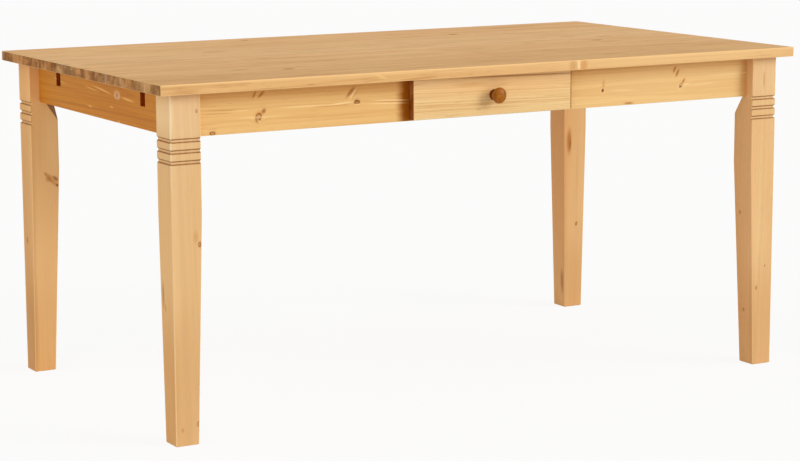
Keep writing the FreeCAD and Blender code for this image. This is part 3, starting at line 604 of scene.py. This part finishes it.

# %% [markdown]
# ## The aprons
# Four boards on edge carry the top. The front one is flat-sawn with a pale line of spring wood that
# runs nearly its whole length, and small slanted branch knots. Close under the top, left of the
# drawer, beside the right leg and along the drawer's right edge it carries painted shade. The end
# boards came from an older, redder log; the left one is darker and more orange still, partly its
# own tone and partly painted shade. Such marks could be painted by hand; written as ellipses they
# stay editable.

# %% Knots and marks of the front apron
on_front = on_face(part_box("front_apron")[0].y)
front_left, front_right = [corner.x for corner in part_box("drawer_front")]
PALE_LINE, DRAWER_GAP_PAINTED_SHADE = (252, 220, 160), (120, 74, 34)
BRANCH, BRANCH_DEEP = (186, 112, 42), (150, 88, 32)
SHADE, SHADE_DEEP = (226, 156, 72), (168, 94, 14)
KNOT_BLACK = (104, 50, 4)
front_knots = [
    on_front(-0.5598, 0.6673, 0.008, 0.0062, -62.0),
    on_front(-0.3288, 0.6849, 0.0066, 0.0042),
    on_front(-0.665, 0.64, 0.006, 0.0036),
    on_front(0.2979, 0.6728, 0.0032, 0.0042, 20.0),
    on_front(0.5138, 0.6725, 0.0054, 0.004, -65.0),
]
front_marks = face_marks(
    on_front,
    # Painted shade: a band close under the top, the drawer front's shadow left of its left end, and the
    # right leg's shadow beside it.
    (0.0, 0.727, 2.4, 0.034, SHADE, 0.27),
    (front_left - 0.004, 0.682, 0.028, 0.16, SHADE_DEEP, 1.0),
    (0.706, 0.69, 0.022, 0.14, (212, 138, 52), 0.8),
    (0.5, 0.68, 0.4, 0.1, (252, 218, 158), 0.35),
    (-0.45, 0.683, 0.085, 0.0024, 0.2, PALE_LINE, 0.75),
    (-0.365, 0.684, 0.04, 0.0026, -4.0, PALE_LINE, 0.9),
    (-0.249, 0.6838, 0.05, 0.0022, 3.0, PALE_LINE, 0.85),
    (-0.26, 0.6775, 0.06, 0.002, 2.2, PALE_LINE, 0.75),
    (-0.24, 0.6808, 0.045, 0.0014, 2.6, BRANCH, 0.55),
    (-0.385, 0.68, 0.055, 0.0013, -0.5, BRANCH, 0.45),
    (-0.635, 0.6856, 0.065, 0.0014, 1.9, BRANCH, 0.5),
    (-0.6, 0.6832, 0.03, 0.0016, 1.0, PALE_LINE, 0.7),
    (-0.655, 0.6797, 0.045, 0.0014, 1.3, BRANCH, 0.5),
    (-0.555, 0.6668, 0.085, 0.0034, 0.6, PALE_LINE, 0.4),
    (0.655, 0.6911, 0.09, 0.0017, -0.8, PALE_LINE, 0.75),
    (0.575, 0.672, 0.055, 0.004, -2.0, PALE_LINE, 0.35),
    (0.35, 0.6705, 0.045, 0.0034, 3.0, PALE_LINE, 0.35),
    (-0.5476, 0.6791, 0.008, 0.0062, -50.0, BRANCH_DEEP, 0.75),
    (-0.5647, 0.6578, 0.007, 0.0017, 35.0, BRANCH, 0.8),
    (-0.56, 0.66, 0.007, 0.0016, 32.0, PALE_LINE, 0.6),
    (-0.569, 0.714, 0.01, 0.0036, -62.0, BRANCH, 0.8),
    (-0.5535, 0.7135, 0.012, 0.004, -42.0, BRANCH, 0.9),
    (-0.3436, 0.707, 0.018, 0.005, -46.0, BRANCH_DEEP, 0.75),
    (-0.3373, 0.7029, 0.018, 0.0022, -51.0, PALE_LINE, 0.75),
    (-0.331, 0.7045, 0.014, 0.0022, -50.0, BRANCH, 0.4),
    (-0.3295, 0.6862, 0.006, 0.0026, KNOT_BLACK, 0.75),
    (-0.328, 0.6796, 0.008, 0.0018, PALE_LINE, 0.8),
    (0.2978, 0.673, 0.0034, 0.0046, 20.0, KNOT_BLACK, 0.95),
    (0.3, 0.687, 0.013, 0.0042, -84.0, BRANCH, 0.35),
    (0.5209, 0.6818, 0.009, 0.0036, -58.0, (200, 122, 58), 0.9),
    (0.512, 0.6696, 0.004, 0.0024, -30.0, KNOT_BLACK, 0.85),
    (0.53, 0.674, 0.014, 0.004, -4.0, PALE_LINE, 0.6),
    (0.4955, 0.71, 0.0105, 0.004, -66.0, BRANCH, 0.85),
    (0.5034, 0.7013, 0.012, 0.004, -63.0, BRANCH, 0.85),
    (0.369, 0.64, 0.016, 0.0036, (184, 120, 58), 0.8),
    # Painted shade in the gap along the drawer's right edge.
    (front_right + 0.0008, 0.68, 0.0034, 0.07, DRAWER_GAP_PAINTED_SHADE, 0.9),
)
print("front apron:", len(front_knots), "knots and", len(front_marks), "marks")

# %% Knots and marks of the other aprons
APRON_LEFT, APRON_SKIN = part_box("left_apron")[0].x, 0.0015
on_back, on_right = on_face(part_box("back_apron")[1].y), on_face(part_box("right_apron")[1].x)
through_left, on_left = on_face(APRON_LEFT), on_face(APRON_LEFT, APRON_SKIN)
COLLAR, FLAME = (255, 214, 162), (252, 196, 108)
back_knots = [on_back(-0.41, 0.69, 0.008, 0.006, 20.0), on_back(0.12, 0.665, 0.01, 0.007, -10.0),
              on_back(0.55, 0.7, 0.007, 0.005, 35.0)]
left_knots = [through_left(-0.0998, 0.6945, 0.008, 0.0055)]
left_marks = face_marks(
    on_left,
    (-0.0998, 0.6945, 0.019, 0.0112, COLLAR, 1.0),
    (-0.0998, 0.6948, 0.011, 0.0082, (190, 126, 82), 0.85),
    (-0.02, 0.699, 0.065, 0.003, -5.0, FLAME, 0.9),
    (-0.156, 0.6909, 0.04, 0.003, -3.0, FLAME, 0.9),
    (0.04, 0.696, 0.05, 0.0022, -3.5, FLAME, 0.7),
    (0.233, 0.698, 0.05, 0.0024, -5.5, FLAME, 0.7),
    (0.052, 0.6568, 0.014, 0.0024, -4.0, FLAME, 0.7),
    (-0.069, 0.667, 0.014, 0.0024, -2.0, FLAME, 0.7),
    (-0.1054, 0.6375, 0.008, 0.003, (250, 216, 150), 0.8),
)
right_knots = [on_right(0.17, 0.672, 0.009, 0.007, 10.0), on_right(-0.21, 0.7, 0.006, 0.005)]
print("knots on the other aprons:", len(back_knots + left_knots + right_knots))

# %% Dress the aprons
APRON_TONES = ((244, 204, 140), (236, 190, 122), (212, 154, 82))
# The left end board's tones are partly its own deeper orange and partly painted shade.
LEFT_APRON_TONES_WITH_SHADE = ((224, 156, 62), (208, 134, 44), (178, 102, 24))
RIGHT_APRON_TONES = ((238, 184, 108), (226, 166, 88), (200, 132, 56))
APRON_END_TONES = ((176, 122, 70), (140, 88, 44), (104, 60, 26))
SLOT_TONES = ((160, 66, 14), (128, 48, 8), (96, 32, 4))
KNOT_COLLAR = ((250, 200, 146), 0.85)
dress(pine("front_apron_pine", "X", APRON_TONES, APRON_END_TONES, (-0.452, 0.668), seed=2.4, year=0.0052,
           streaks=0.42, knots=front_knots, marks=front_marks), "front_apron")
dress(pine("back_apron_pine", "X", APRON_TONES, APRON_END_TONES, (0.455, 0.672), seed=14.9, year=0.005,
           streaks=0.42, knots=back_knots), "back_apron")
dress(pine("left_apron_pine", "Y", LEFT_APRON_TONES_WITH_SHADE, SLOT_TONES, (-0.80, 0.700), seed=21.5, year=0.005,
           streaks=0.4, knots=left_knots, marks=left_marks), "left_apron")
dress(pine("right_apron_pine", "Y", RIGHT_APRON_TONES, SLOT_TONES, (0.80, 0.676), seed=33.1, year=0.005,
           streaks=0.4, knots=right_knots, halo=KNOT_COLLAR), "right_apron")
print("aprons dressed: 4")

# %% [markdown]
# ## The legs
# A leg is a square post, tapered on its two inner faces, with three grooves round its two outer
# faces. High up its inner corner is sawn off, where the bracket pulls on it. The imported legs have
# crisp groove edges; a real cutter and a hand with sandpaper leave them soft. So we make the legs
# anew as a section carried along the height: five corners, each rounded, whose distances change
# with height. Painted shade on both walls of each groove gives the grooves their two dark lines,
# a painted highlight runs down the outer corner, and the sawn-off corner is darkened with painted
# shade. Some faces and feet carry painted light and shade as paler and darker patches.

# %% The leg's section at each height
leg_low, leg_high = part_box("leg_back_right")
LEG_OUT_X, LEG_OUT_Y, LEG_TOP = leg_high
LEG_WIDTH, FOOT_WIDTH = leg_high.x - leg_low.x, 0.052
TAPER_FROM, FIRST_TAPER_SECTION, TAPER_SECTIONS = 0.478, 0.02, 12
CUT_FROM, CUT_FULL, CUT_WIDTH, LEAST_CUT = 0.590, 0.636, 0.031, 0.0024
GROOVES = np.array([0.588, 0.6105, 0.633])
GROOVE_DEPTH, GROOVE_MOUTH, GROOVE_FLOOR, GROOVE_SECTIONS = 0.003, 0.0049, 0.0014, 33
ARRIS = np.array([0.0038, 0.0022, 0.0022, 0.0022, 0.0022])
ARRIS_STEPS = 6
FOOT_EASE = 0.0012


def s_step(x):
    """0 below 0, 1 above 1, and 3x squared less 2x cubed between."""
    x = np.clip(x, 0.0, 1.0)
    return x * x * (3 - 2 * x)


def groove_depth(z):
    """Depth of the outer faces behind their plane: an S-step down and up again at each groove."""
    away = np.abs(z[:, None] - GROOVES[None, :])
    return GROOVE_DEPTH * s_step((GROOVE_MOUTH - away) / (GROOVE_MOUTH - GROOVE_FLOOR)).max(axis=1)


def leg_heights():
    """Heights of the sections: close together in the grooves, and one at each change of direction."""
    fine = (GROOVES[:, None] + np.linspace(-GROOVE_MOUTH, GROOVE_MOUTH, GROOVE_SECTIONS)[None, :]).ravel()
    plain = np.array([0.0, FOOT_EASE / 3, FOOT_EASE, TAPER_FROM, CUT_FROM, CUT_FULL, LEG_TOP])
    taper = np.linspace(FIRST_TAPER_SECTION, TAPER_FROM, TAPER_SECTIONS)
    return np.unique(np.round(np.concatenate([fine, plain, taper]), 6))


def leg_corners(z):
    """Five corners at each height, as distances behind the two outer faces: outer corner, next one, two
    ends of the sawn-off inner corner, last one. Taper and sawn-off corner grow in straight lines."""
    ease = FOOT_EASE * np.clip(1 - z / FOOT_EASE, 0, 1)
    near = groove_depth(z) + ease
    far = FOOT_WIDTH + (LEG_WIDTH - FOOT_WIDTH) * np.clip(z / TAPER_FROM, 0, 1) - ease
    cut = np.maximum(CUT_WIDTH * np.clip((z - CUT_FROM) / (CUT_FULL - CUT_FROM), 0, 1), LEAST_CUT)
    behind_x = np.stack([near, far, far, far - cut, near], 1)
    behind_y = np.stack([near, near, far - cut, far, far], 1)
    return np.stack([behind_x, behind_y], -1)


sections = leg_corners(leg_heights())
print("sections in a leg:", len(sections), "corners in each:", sections.shape[1])

# %% Carve the legs
CORNERS = {"front_left": (-1, -1), "front_right": (1, -1), "back_right": (1, 1), "back_left": (-1, 1)}


def unit(vectors):
    """The same directions, one long."""
    return vectors / np.linalg.norm(vectors, axis=-1, keepdims=True)


def leg_mesh(name, side_x, side_y):
    """The leg's skin: the sections carried up the leg, each corner replaced by a curve of the second
    degree from one edge to the next."""
    z = leg_heights()
    corner = leg_corners(z)
    before = unit(corner - np.roll(corner, 1, axis=1))
    after = unit(np.roll(corner, -1, axis=1) - corner)
    turn = np.arccos(np.clip((before * after).sum(-1), -1, 1))
    reach = (ARRIS[None, :] * np.tan(turn / 2))[..., None]
    leaves, joins = (corner - before * reach)[:, :, None], (corner + after * reach)[:, :, None]
    t = np.linspace(0, 1, ARRIS_STEPS)[None, None, :, None]
    curve = (1 - t) ** 2 * leaves + 2 * t * (1 - t) * corner[:, :, None] + t ** 2 * joins
    ring = curve.reshape(len(z), -1, 2)
    count = ring.shape[1]
    x, y = side_x * (LEG_OUT_X - ring[..., 0]), side_y * (LEG_OUT_Y - ring[..., 1])
    points = np.stack([x, y, np.broadcast_to(z[:, None], x.shape)], -1).reshape(-1, 3)
    quads = ring_quads(len(z), count)
    bottom, top = np.arange(count)[::-1], np.arange(count) + (len(z) - 1) * count
    if side_x * side_y < 0:
        quads, bottom, top = quads[:, ::-1], bottom[::-1], top[::-1]
    mesh = bpy.data.meshes.new(name)
    mesh.from_pydata(points.tolist(), [], quads.tolist() + [bottom.tolist(), top.tolist()])
    return mesh


legs = {}
for corner_name, sides in CORNERS.items():
    leg_name = f"grooved_leg_{corner_name}"
    leg = bpy.data.objects.new(leg_name, leg_mesh(leg_name, *sides))
    scene.collection.objects.link(leg)
    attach(leg, "table")
    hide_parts(f"leg_{corner_name}")
    legs[corner_name] = leg
    print(leg.name, "faces:", len(leg.data.polygons))

# %% Painted shade in the grooves, a painted highlight on the outer edge
GROOVE_PAINTED_SHADE = colour(146, 90, 42)
SAWN_CORNER_PAINTED_SHADE = colour(150, 96, 50)
ARRIS_PAINTED_HIGHLIGHT = colour(255, 236, 200)
# Soft steps from nothing to full, in metres: from a groove's middle, behind the outer faces, up the leg.
GROOVE_SHADE_INSIDE, GROOVE_SHADE_OUTSIDE = (0.0010, 0.0026), (0.0056, 0.0040)
OUTER_FACE, OUTER_EDGE, INNER_CORNER = (0.0036, 0.0030), (0.0038, 0.0020), (0.030, 0.036)
EDGE_PALES, SAWN_OFF = (0.52, 0.66), (CUT_FROM - 0.002, CUT_FROM + 0.004)


def leg_painted_shade_and_highlight(place, base, streak, normal):
    """Painted shade on groove walls (not floors) and the sawn-off corner; a painted highlight on the outer
    edge.
    """
    parts = place.node("ShaderNodeSeparateXYZ", {}, {0: place})
    z, x, y = [parts.part(axis) for axis in "XYZ"]
    x_behind = LEG_OUT_X - x.math("ABSOLUTE")
    y_behind = LEG_OUT_Y - y.math("ABSOLUTE")
    nearer, farther = x_behind.math("MINIMUM", y_behind), x_behind.math("MAXIMUM", y_behind)
    # Each groove's two walls are darkened with painted shade.
    walls = []
    for groove in GROOVES:
        away = (z - float(groove)).math("ABSOLUTE")
        walls.append(smooth(away, *GROOVE_SHADE_INSIDE) * smooth(away, *GROOVE_SHADE_OUTSIDE))
    oil = walls[0].math("MAXIMUM", walls[1]).math("MAXIMUM", walls[2])
    outer = smooth(nearer, *OUTER_FACE)
    base = mix(oil * outer * (streak * 0.5 + 0.5), base, GROOVE_PAINTED_SHADE)
    # A painted highlight on the outer edge, strongest high up.
    edge = smooth(farther, *OUTER_EDGE) * (smooth(z, *EDGE_PALES) * 0.7 + 0.05)
    base = mix(edge, base, ARRIS_PAINTED_HIGHLIGHT)
    # Painted shade on the sawn-off corner.
    slanted = smooth(normal[1].math("MINIMUM", normal[2]), 0.45, 0.6)
    inside = smooth(nearer, *INNER_CORNER) * smooth(z, *SAWN_OFF)
    return mix(slanted * inside * 0.85, base, SAWN_CORNER_PAINTED_SHADE)


print("grooves to oil in each leg:", len(GROOVES))

# %% Knots and marks of the legs
LEG_STAIN = (190, 130, 74)
BLOCK_PAINTED_LIGHT, FACE_PAINTED_LIGHT, FACE_PAINTED_SHADE = (250, 220, 180), (252, 208, 148), (208, 150, 88)


def leg_face(through, deep):
    """Gives a function that puts spots of this half depth on a leg: middle, half sizes and turn."""
    def leg_spot(z, x, y, length, width, turn=0.0):
        return spot(z, x, y, length, width, turn, through, deep)
    return leg_spot


# Front faces look along the table's width, side faces along its length.
front, front_thin = leg_face("v", deep=0.03), leg_face("v", deep=0.02)
side_deep, side = leg_face("u", deep=0.03), leg_face("u", deep=0.02)
side_thin, side_skin = leg_face("u", deep=0.012), leg_face("u", deep=0.01)
leg_knots = {
    "front_left": [
        front(0.418, -0.709, -0.425, 0.0048, 0.003),
        front(0.6914, -0.7107, -0.425, 0.0032, 0.002),
        front(0.0437, -0.7194, -0.425, 0.0045, 0.003),
    ],
    "front_right": [
        side_deep(0.3605, 0.706, -0.3812, 0.0035, 0.003),
        side_deep(0.128, 0.706, -0.3921, 0.0035, 0.0034),
        front(0.1845, 0.7245, -0.425, 0.004, 0.0022),
        front(0.2354, 0.748, -0.425, 0.0022, 0.0014),
    ],
    "back_right": [front(0.2233, 0.7473, 0.362, 0.0045, 0.003, 15.0)],
    "back_left": [side_deep(0.31, -0.77, 0.4, 0.006, 0.004)],
}
# Besides knots and stains, many leg marks are painted light and shade: pale patches on upper blocks and
# faces, darker feet, warmer side faces.
leg_marks = {
    "front_left": [
        # Painted light on the upper block and the left face, painted shade at the foot.
        (front(0.69, -0.736, -0.425, 0.08, 0.07), BLOCK_PAINTED_LIGHT, 0.18),
        (side_skin(0.3, -0.77, -0.391, 0.5, 0.07), (250, 200, 132), 0.45),
        (side_skin(0.69, -0.77, -0.391, 0.06, 0.08), (255, 221, 166), 0.8),
        (front_thin(0.1, -0.742, -0.425, 0.22, 0.08), (206, 156, 100), 0.4),
        (side_thin(0.1, -0.77, -0.395, 0.24, 0.08), (212, 150, 80), 0.5),
        (side(0.312, -0.77, -0.375, 0.034, 0.006), (150, 98, 52), 0.55),
        (side(0.286, -0.77, -0.384, 0.012, 0.004, -20.0), (150, 98, 52), 0.45),
        (front(0.4338, -0.7176, -0.425, 0.016, 0.007), (208, 150, 92), 0.55),
        (front(0.034, -0.7553, -0.425, 0.006, 0.004), LEG_STAIN, 0.6),
    ],
    "front_right": [
        # Painted light on the upper block.
        (front(0.69, 0.736, -0.425, 0.08, 0.07), BLOCK_PAINTED_LIGHT, 0.18),
        (front(0.675, 0.7348, -0.425, 0.024, 0.0032), (206, 146, 90), 0.6),
        # Painted shade: a warmer left face and a darker foot.
        (side(0.3, 0.706, -0.391, 0.5, 0.07), (240, 164, 104), 0.25),
        (side(0.06, 0.712, -0.391, 0.2, 0.08), (202, 132, 66), 0.3),
        (front_thin(0.08, 0.742, -0.425, 0.2, 0.08), (206, 148, 90), 0.45),
    ],
    "back_right": [
        # Painted warm shade on the left face.
        (side(0.34, 0.706, 0.391, 0.5, 0.07), (250, 170, 108), 0.3),
        (front(0.445, 0.7178, 0.36, 0.042, 0.01), (186, 114, 46), 0.85),
        (front(0.436, 0.7215, 0.36, 0.02, 0.0024), (124, 72, 28), 0.6),
        (side_deep(0.07, 0.712, 0.3835, 0.04, 0.008), (160, 98, 46), 0.65),
        # Painted shade at the foot.
        (front_thin(0.06, 0.742, 0.366, 0.16, 0.08), (206, 144, 86), 0.3),
    ],
    "back_left": [
        # Painted light on the front face and block, painted shade on the left face and at the foot; the
        # knot marks follow.
        (front_thin(0.3, -0.74, 0.362, 0.4, 0.07), FACE_PAINTED_LIGHT, 0.55),
        (front_thin(0.55, -0.712, 0.357, 0.11, 0.034), (255, 218, 158), 0.55),
        (side_skin(0.3, -0.77, 0.391, 0.5, 0.07), FACE_PAINTED_SHADE, 0.35),
        (front(0.69, -0.74, 0.362, 0.09, 0.07), (255, 206, 142), 0.4),
        (side_skin(0.69, -0.77, 0.391, 0.08, 0.08), (244, 188, 122), 0.55),
        (front_thin(0.08, -0.742, 0.37, 0.2, 0.08), (198, 142, 84), 0.26),
        (side_thin(0.08, -0.77, 0.395, 0.2, 0.08), (184, 128, 70), 0.4),
        (front(0.457, -0.729, 0.357, 0.01, 0.01), (188, 126, 66), 0.6),
        (front(0.4545, -0.7225, 0.357, 0.026, 0.008, -44.0), (198, 128, 62), 0.7),
        (front(0.456, -0.712, 0.357, 0.012, 0.005, -50.0), (146, 84, 38), 0.7),
        (front(0.455, -0.7195, 0.357, 0.02, 0.002, -44.0), (240, 182, 118), 0.7),
        (front(0.44, -0.7085, 0.357, 0.006, 0.0034, -44.0), (126, 72, 30), 0.85),
        (front(0.468, -0.7365, 0.357, 0.006, 0.0034, -30.0), (160, 100, 50), 0.5),
    ],
}
print("marks on the legs:", {name: len(marks) for name, marks in leg_marks.items()})

# %% Dress the legs
LEG_TONES = ((240, 203, 152), (230, 187, 132), (206, 155, 98))
LEG_END_TONES = ((190, 140, 92), (160, 112, 68), (124, 80, 44))
# Each leg's tint and the place of its pith.
leg_woods = {"front_left": ((0.985, 0.98, 0.97), (-0.70, -0.33)),
             "front_right": ((1.0, 0.99, 0.97), (0.66, -0.35)),
             "back_right": ((0.99, 0.955, 0.90), (0.80, 0.30)),
             "back_left": ((1.02, 0.965, 0.88), (-0.83, 0.46))}
for number, (corner_name, leg) in enumerate(legs.items()):
    tint, pith = leg_woods[corner_name]
    tones = [tuple(np.array(tone) * tint) for tone in LEG_TONES]
    wood = pine(f"leg_pine_{corner_name}", "Z", tones, LEG_END_TONES, pith, seed=3.0 + 12.7 * number,
                year=0.0055, slope=0.01, contrast=0.16, streaks=0.18, dashes=0.10, wear_and_highlight=0.95,
                knots=leg_knots[corner_name], marks=leg_marks[corner_name], extra=leg_painted_shade_and_highlight)
    leg.data.materials.append(wood)
print("legs dressed:", len(legs))

# %% [markdown]
# ## The drawer
# The drawer front is one quarter-sawn board, so its years are fine straight lines, and its sawn
# ends are the darkest wood on the table. Along its top, just under the table top, and along its
# right edge it carries painted shade. The knob is turned from a redder wood with the grain along
# its axis, so what faces us is end grain, which takes the oil deep. Its neck is darkened with
# painted shade, and a painted highlight runs round its rim. The box behind is plain pine, left raw
# and paler, with a birch plywood bottom. The one pine finish serves them all; only tones, pith and
# marks change.

# %% Dress the drawer front
on_drawer = on_face(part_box("drawer_front")[0].y)
DRAWER_TONES = ((248, 216, 162), (240, 204, 146), (214, 164, 100))
DRAWER_END_TONES = ((142, 78, 28), (114, 60, 18), (170, 104, 48))
END_Y, END_SKIN = -0.43, 0.003
END_STREAK, END_STREAK_HEIGHTS = (206, 156, 96), (0.690, 0.697, 0.704)
drawer_marks = [
    # Painted shade: a warm band and a dark line just under the table top, and a dark line in the gap at the
    # right edge.
    (on_drawer(0.01, 0.706, 0.30, 0.036), (236, 180, 112), 0.44),
    (on_drawer(0.09, 0.7208, 0.240, 0.0024, 0.9), (150, 92, 40), 0.65),
    (on_drawer(front_right - 0.0022, 0.682, 0.0024, 0.16), (166, 106, 48), 0.85),
    (spot(front_left, END_Y, 0.652, 0.030, 0.016, 0.0, "s", END_SKIN), (158, 98, 52), 0.6),
    *[(spot(front_left, END_Y, z, 0.009, 0.0012, -35.0, "s", END_SKIN), END_STREAK, 0.6)
      for z in END_STREAK_HEIGHTS],
    (on_drawer(-0.06, 0.708, 0.05, 0.006), (216, 162, 98), 0.45),
    (on_drawer(-0.13, 0.668, 0.06, 0.003, 1.5), (220, 168, 106), 0.4),
]
dress(pine("drawer_front_pine", "X", DRAWER_TONES, DRAWER_END_TONES, (-0.40, 1.05), seed=27.3, year=0.0052,
           slope=0.02, contrast=0.7, streaks=0.65, dashes=0.7, marks=drawer_marks, end_from=(0.2, 0.5)),
      "drawer_front")
print("drawer front dressed, marks:", len(drawer_marks))

# %% Dress the knob
KNOB_TONES = ((178, 110, 38), (162, 95, 28), (126, 70, 14))
KNOB_END_TONES = ((172, 102, 26), (150, 86, 18), (116, 62, 10))
KNOB_NECK_PAINTED_SHADE, KNOB_RIM_PAINTED_HIGHLIGHT = (104, 52, 4), (220, 150, 96)
KNOB_HEIGHT, ALL_ROUND = 0.6818, 0.1


def round_knob(y, reach):
    """A band round the knob: its place along the axis and its half width."""
    return spot(y, 0.0, KNOB_HEIGHT, reach, ALL_ROUND, 0.0, "v", ALL_ROUND)


# Painted shade round the neck, and a painted highlight on the rim.
knob_marks = [(round_knob(y=-0.4205, reach=0.0125), KNOB_NECK_PAINTED_SHADE, 0.9),
              (round_knob(y=-0.4396, reach=0.0017), KNOB_RIM_PAINTED_HIGHLIGHT, 0.6)]
dress(pine("knob_wood", "Y", KNOB_TONES, KNOB_END_TONES, (0.012, 0.676), seed=44.0, year=0.0022, wear_and_highlight=0.0,
           marks=knob_marks, mottle=220.0, roughness=0.36, gloss=0.12), "drawer_knob")
print("knob dressed, bands:", len(knob_marks))

# %% Dress the inner wood
INNER_TONES = ((236, 202, 154), (226, 188, 136), (206, 160, 104))
INNER_END_TONES = ((196, 150, 104), (168, 122, 78), (136, 92, 54))
inner = {
    "guide_rail_left": (-0.15, 0.7), "guide_rail_right": (0.24, 0.66),
    "bearer_rail_left": (-0.36, 0.69), "bearer_rail_right": (0.46, 0.7),
    "runner_left": (-0.12, 0.6), "runner_right": (0.14, 0.6),
    "kicker_left": (-0.12, 0.78), "kicker_right": (0.13, 0.77),
    "drawer_side_left": (-0.14, 0.68), "drawer_side_right": (0.13, 0.7),
    "drawer_back": (0.06, 0.69),
}
for number, (name, pith) in enumerate(inner.items()):
    along = "X" if name == "drawer_back" else "Y"
    wood = pine(f"inner_pine_{name}", along, INNER_TONES, INNER_END_TONES, pith,
                seed=51.0 + 6.1 * number, contrast=0.45, roughness=0.62)
    dress(wood, name)
print("inner boards dressed:", len(inner))

# %% [markdown]
# Plywood is peeled, not sawn: the knife follows the years, so the sheet shows wide, wavy, cloudy
# figure and short pores instead of lines. Its edges show the plies as stripes. Beech has no figure
# to speak of but is covered with fine dark flecks.

# %% Dress the plywood
SHEET_UNDER, SHEET_THICKNESS, PLY_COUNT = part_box("drawer_bottom")[0].z, 0.004, 3
PLY_PALE, PLY_DEEP = colour(232, 204, 160), colour(214, 178, 128)
PLY_PORE, PLY_CROSS = colour(176, 132, 84), colour(150, 104, 62)
CLOUD_WAVES, WAVES_PER_METRE, WAVE = 5.0, 9.0, 6.28
SMOOTH_BUMP = {"bump_depth": 0.0002, "bump_strength": 0.3}
WOOD_IOR = 1.45


def plywood(name):
    """Peeled birch: waves across the sheet, bent by a cloudy noise, and a darker ply on the edges."""
    material, start = new_material(name)
    place, _, u, v, normal = board_place(start, "Y")
    cloud = grain_noise(place, 3.0, 9.0, seed=5.0, detail=3.0)
    figure = ((cloud * CLOUD_WAVES + u * WAVES_PER_METRE) * WAVE).math("SINE") * 0.5 + 0.5
    pore = smooth(grain_noise(place, 60.0, 900.0, seed=9.0, detail=1.0), 0.6, 0.75)
    base = mix(figure * 0.5, PLY_PALE, PLY_DEEP)
    base = mix(pore * 0.35, base, PLY_PORE)
    ply = ((v - SHEET_UNDER) / (SHEET_THICKNESS / PLY_COUNT)).math("FLOOR")
    odd = (ply * 0.5).math("FRACT") * 2.0
    base = mix((1.0 - smooth(normal[2], 0.4, 0.7)) * odd * 0.7, base, PLY_CROSS)
    finish_material(start, base, cloud * 0.2 + 0.5, pore * -1.0 + cloud * 0.2, **SMOOTH_BUMP, IOR=WOOD_IOR)
    return material


dress(plywood("plywood"), "drawer_bottom")
print("plywood dressed, plies:", PLY_COUNT)

# %% Dress the dowels
BEECH_PALE, BEECH_DEEP, BEECH_FLECK = colour(222, 180, 138), colour(204, 156, 112), colour(146, 96, 60)


def beech(name):
    """Even pinkish wood with short dark flecks along the grain."""
    material, start = new_material(name)
    place = board_place(start, "Y")[0]
    fleck = smooth(grain_noise(place, 120.0, 1500.0, seed=2.0, detail=1.0), 0.6, 0.72)
    cloud = grain_noise(place, 20.0, 160.0, seed=4.0)
    base = mix(cloud, BEECH_PALE, BEECH_DEEP)
    base = mix(fleck * 0.55, base, BEECH_FLECK)
    finish_material(start, base, cloud * 0.2 + 0.45, fleck * -1.0, **SMOOTH_BUMP, IOR=WOOD_IOR)
    return material


dress(beech("beech"), "drawer_dowels", "rail_dowels")
print("dowels dressed")

# %% [markdown]
# ## The steel
# Brackets, angles, bolts and screws are mild steel with a bright zinc coat. One grey would look like
# paint. Zinc settles in faint patches that reflect a little differently, and handling leaves fine
# scratches and dull spots, so colour and roughness both vary while the metal stays metal.

# %% Dress the steel
ZINC_BRIGHT, ZINC_GREY, ZINC_DULL = colour(196, 200, 206), colour(168, 174, 182), colour(150, 148, 140)
ZINC_BUMP = {"bump_depth": 0.0001, "bump_strength": 0.25}


def zinc(name, patches, scratches):
    """Metal whose tint and roughness follow patches and fine long scratches, both counted per metre."""
    material, start = new_material(name)
    place = start.node("ShaderNodeTexCoord").part("Object")
    cells = start.node("ShaderNodeTexVoronoi", {"feature": "F1"}, {"Vector": place, "Scale": patches}, 1)
    grey = start.node("ShaderNodeSeparateColor", {}, {0: cells})
    scuffs = grain_noise(place, scratches * 0.06, scratches, seed=3.0, detail=3.0)
    dull = start.node("ShaderNodeTexNoise", {"noise_dimensions": "3D"},
                      {"Vector": place, "Scale": 60.0, "Detail": 4.0})
    base = mix(grey.part("Red"), ZINC_BRIGHT, ZINC_GREY)
    base = mix(smooth(dull, 0.52, 0.75) * 0.4, base, ZINC_DULL)
    rough = grey.part("Green") * 0.14 + 0.26 + smooth(dull, 0.5, 0.8) * 0.25
    finish_material(start, base, rough, scuffs, **ZINC_BUMP, Metallic=1.0)
    return material


plates = [f"corner_bracket_{corner_name}" for corner_name in legs] + ["top_angles", "bolt_washers"]
screws = ["hanger_bolts", "bolt_nuts", "bracket_screws", "top_angle_screws", "strip_screws", "knob_screw"]
dress(zinc("plate_zinc", patches=320.0, scratches=900.0), *plates)
dress(zinc("screw_zinc", patches=700.0, scratches=1600.0), *screws)
print("steel dressed:", len(plates) + len(screws), "nodes")

# %% [markdown]
# ## Proof of size
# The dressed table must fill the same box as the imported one. We write both boxes side by side.

# %% Write the two boxes and finish
visual_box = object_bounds()
for label, box in (("packed size:", cad_box), ("dressed size:", visual_box)):
    print(label, [round(b - a, 4) for a, b in zip(*box)])
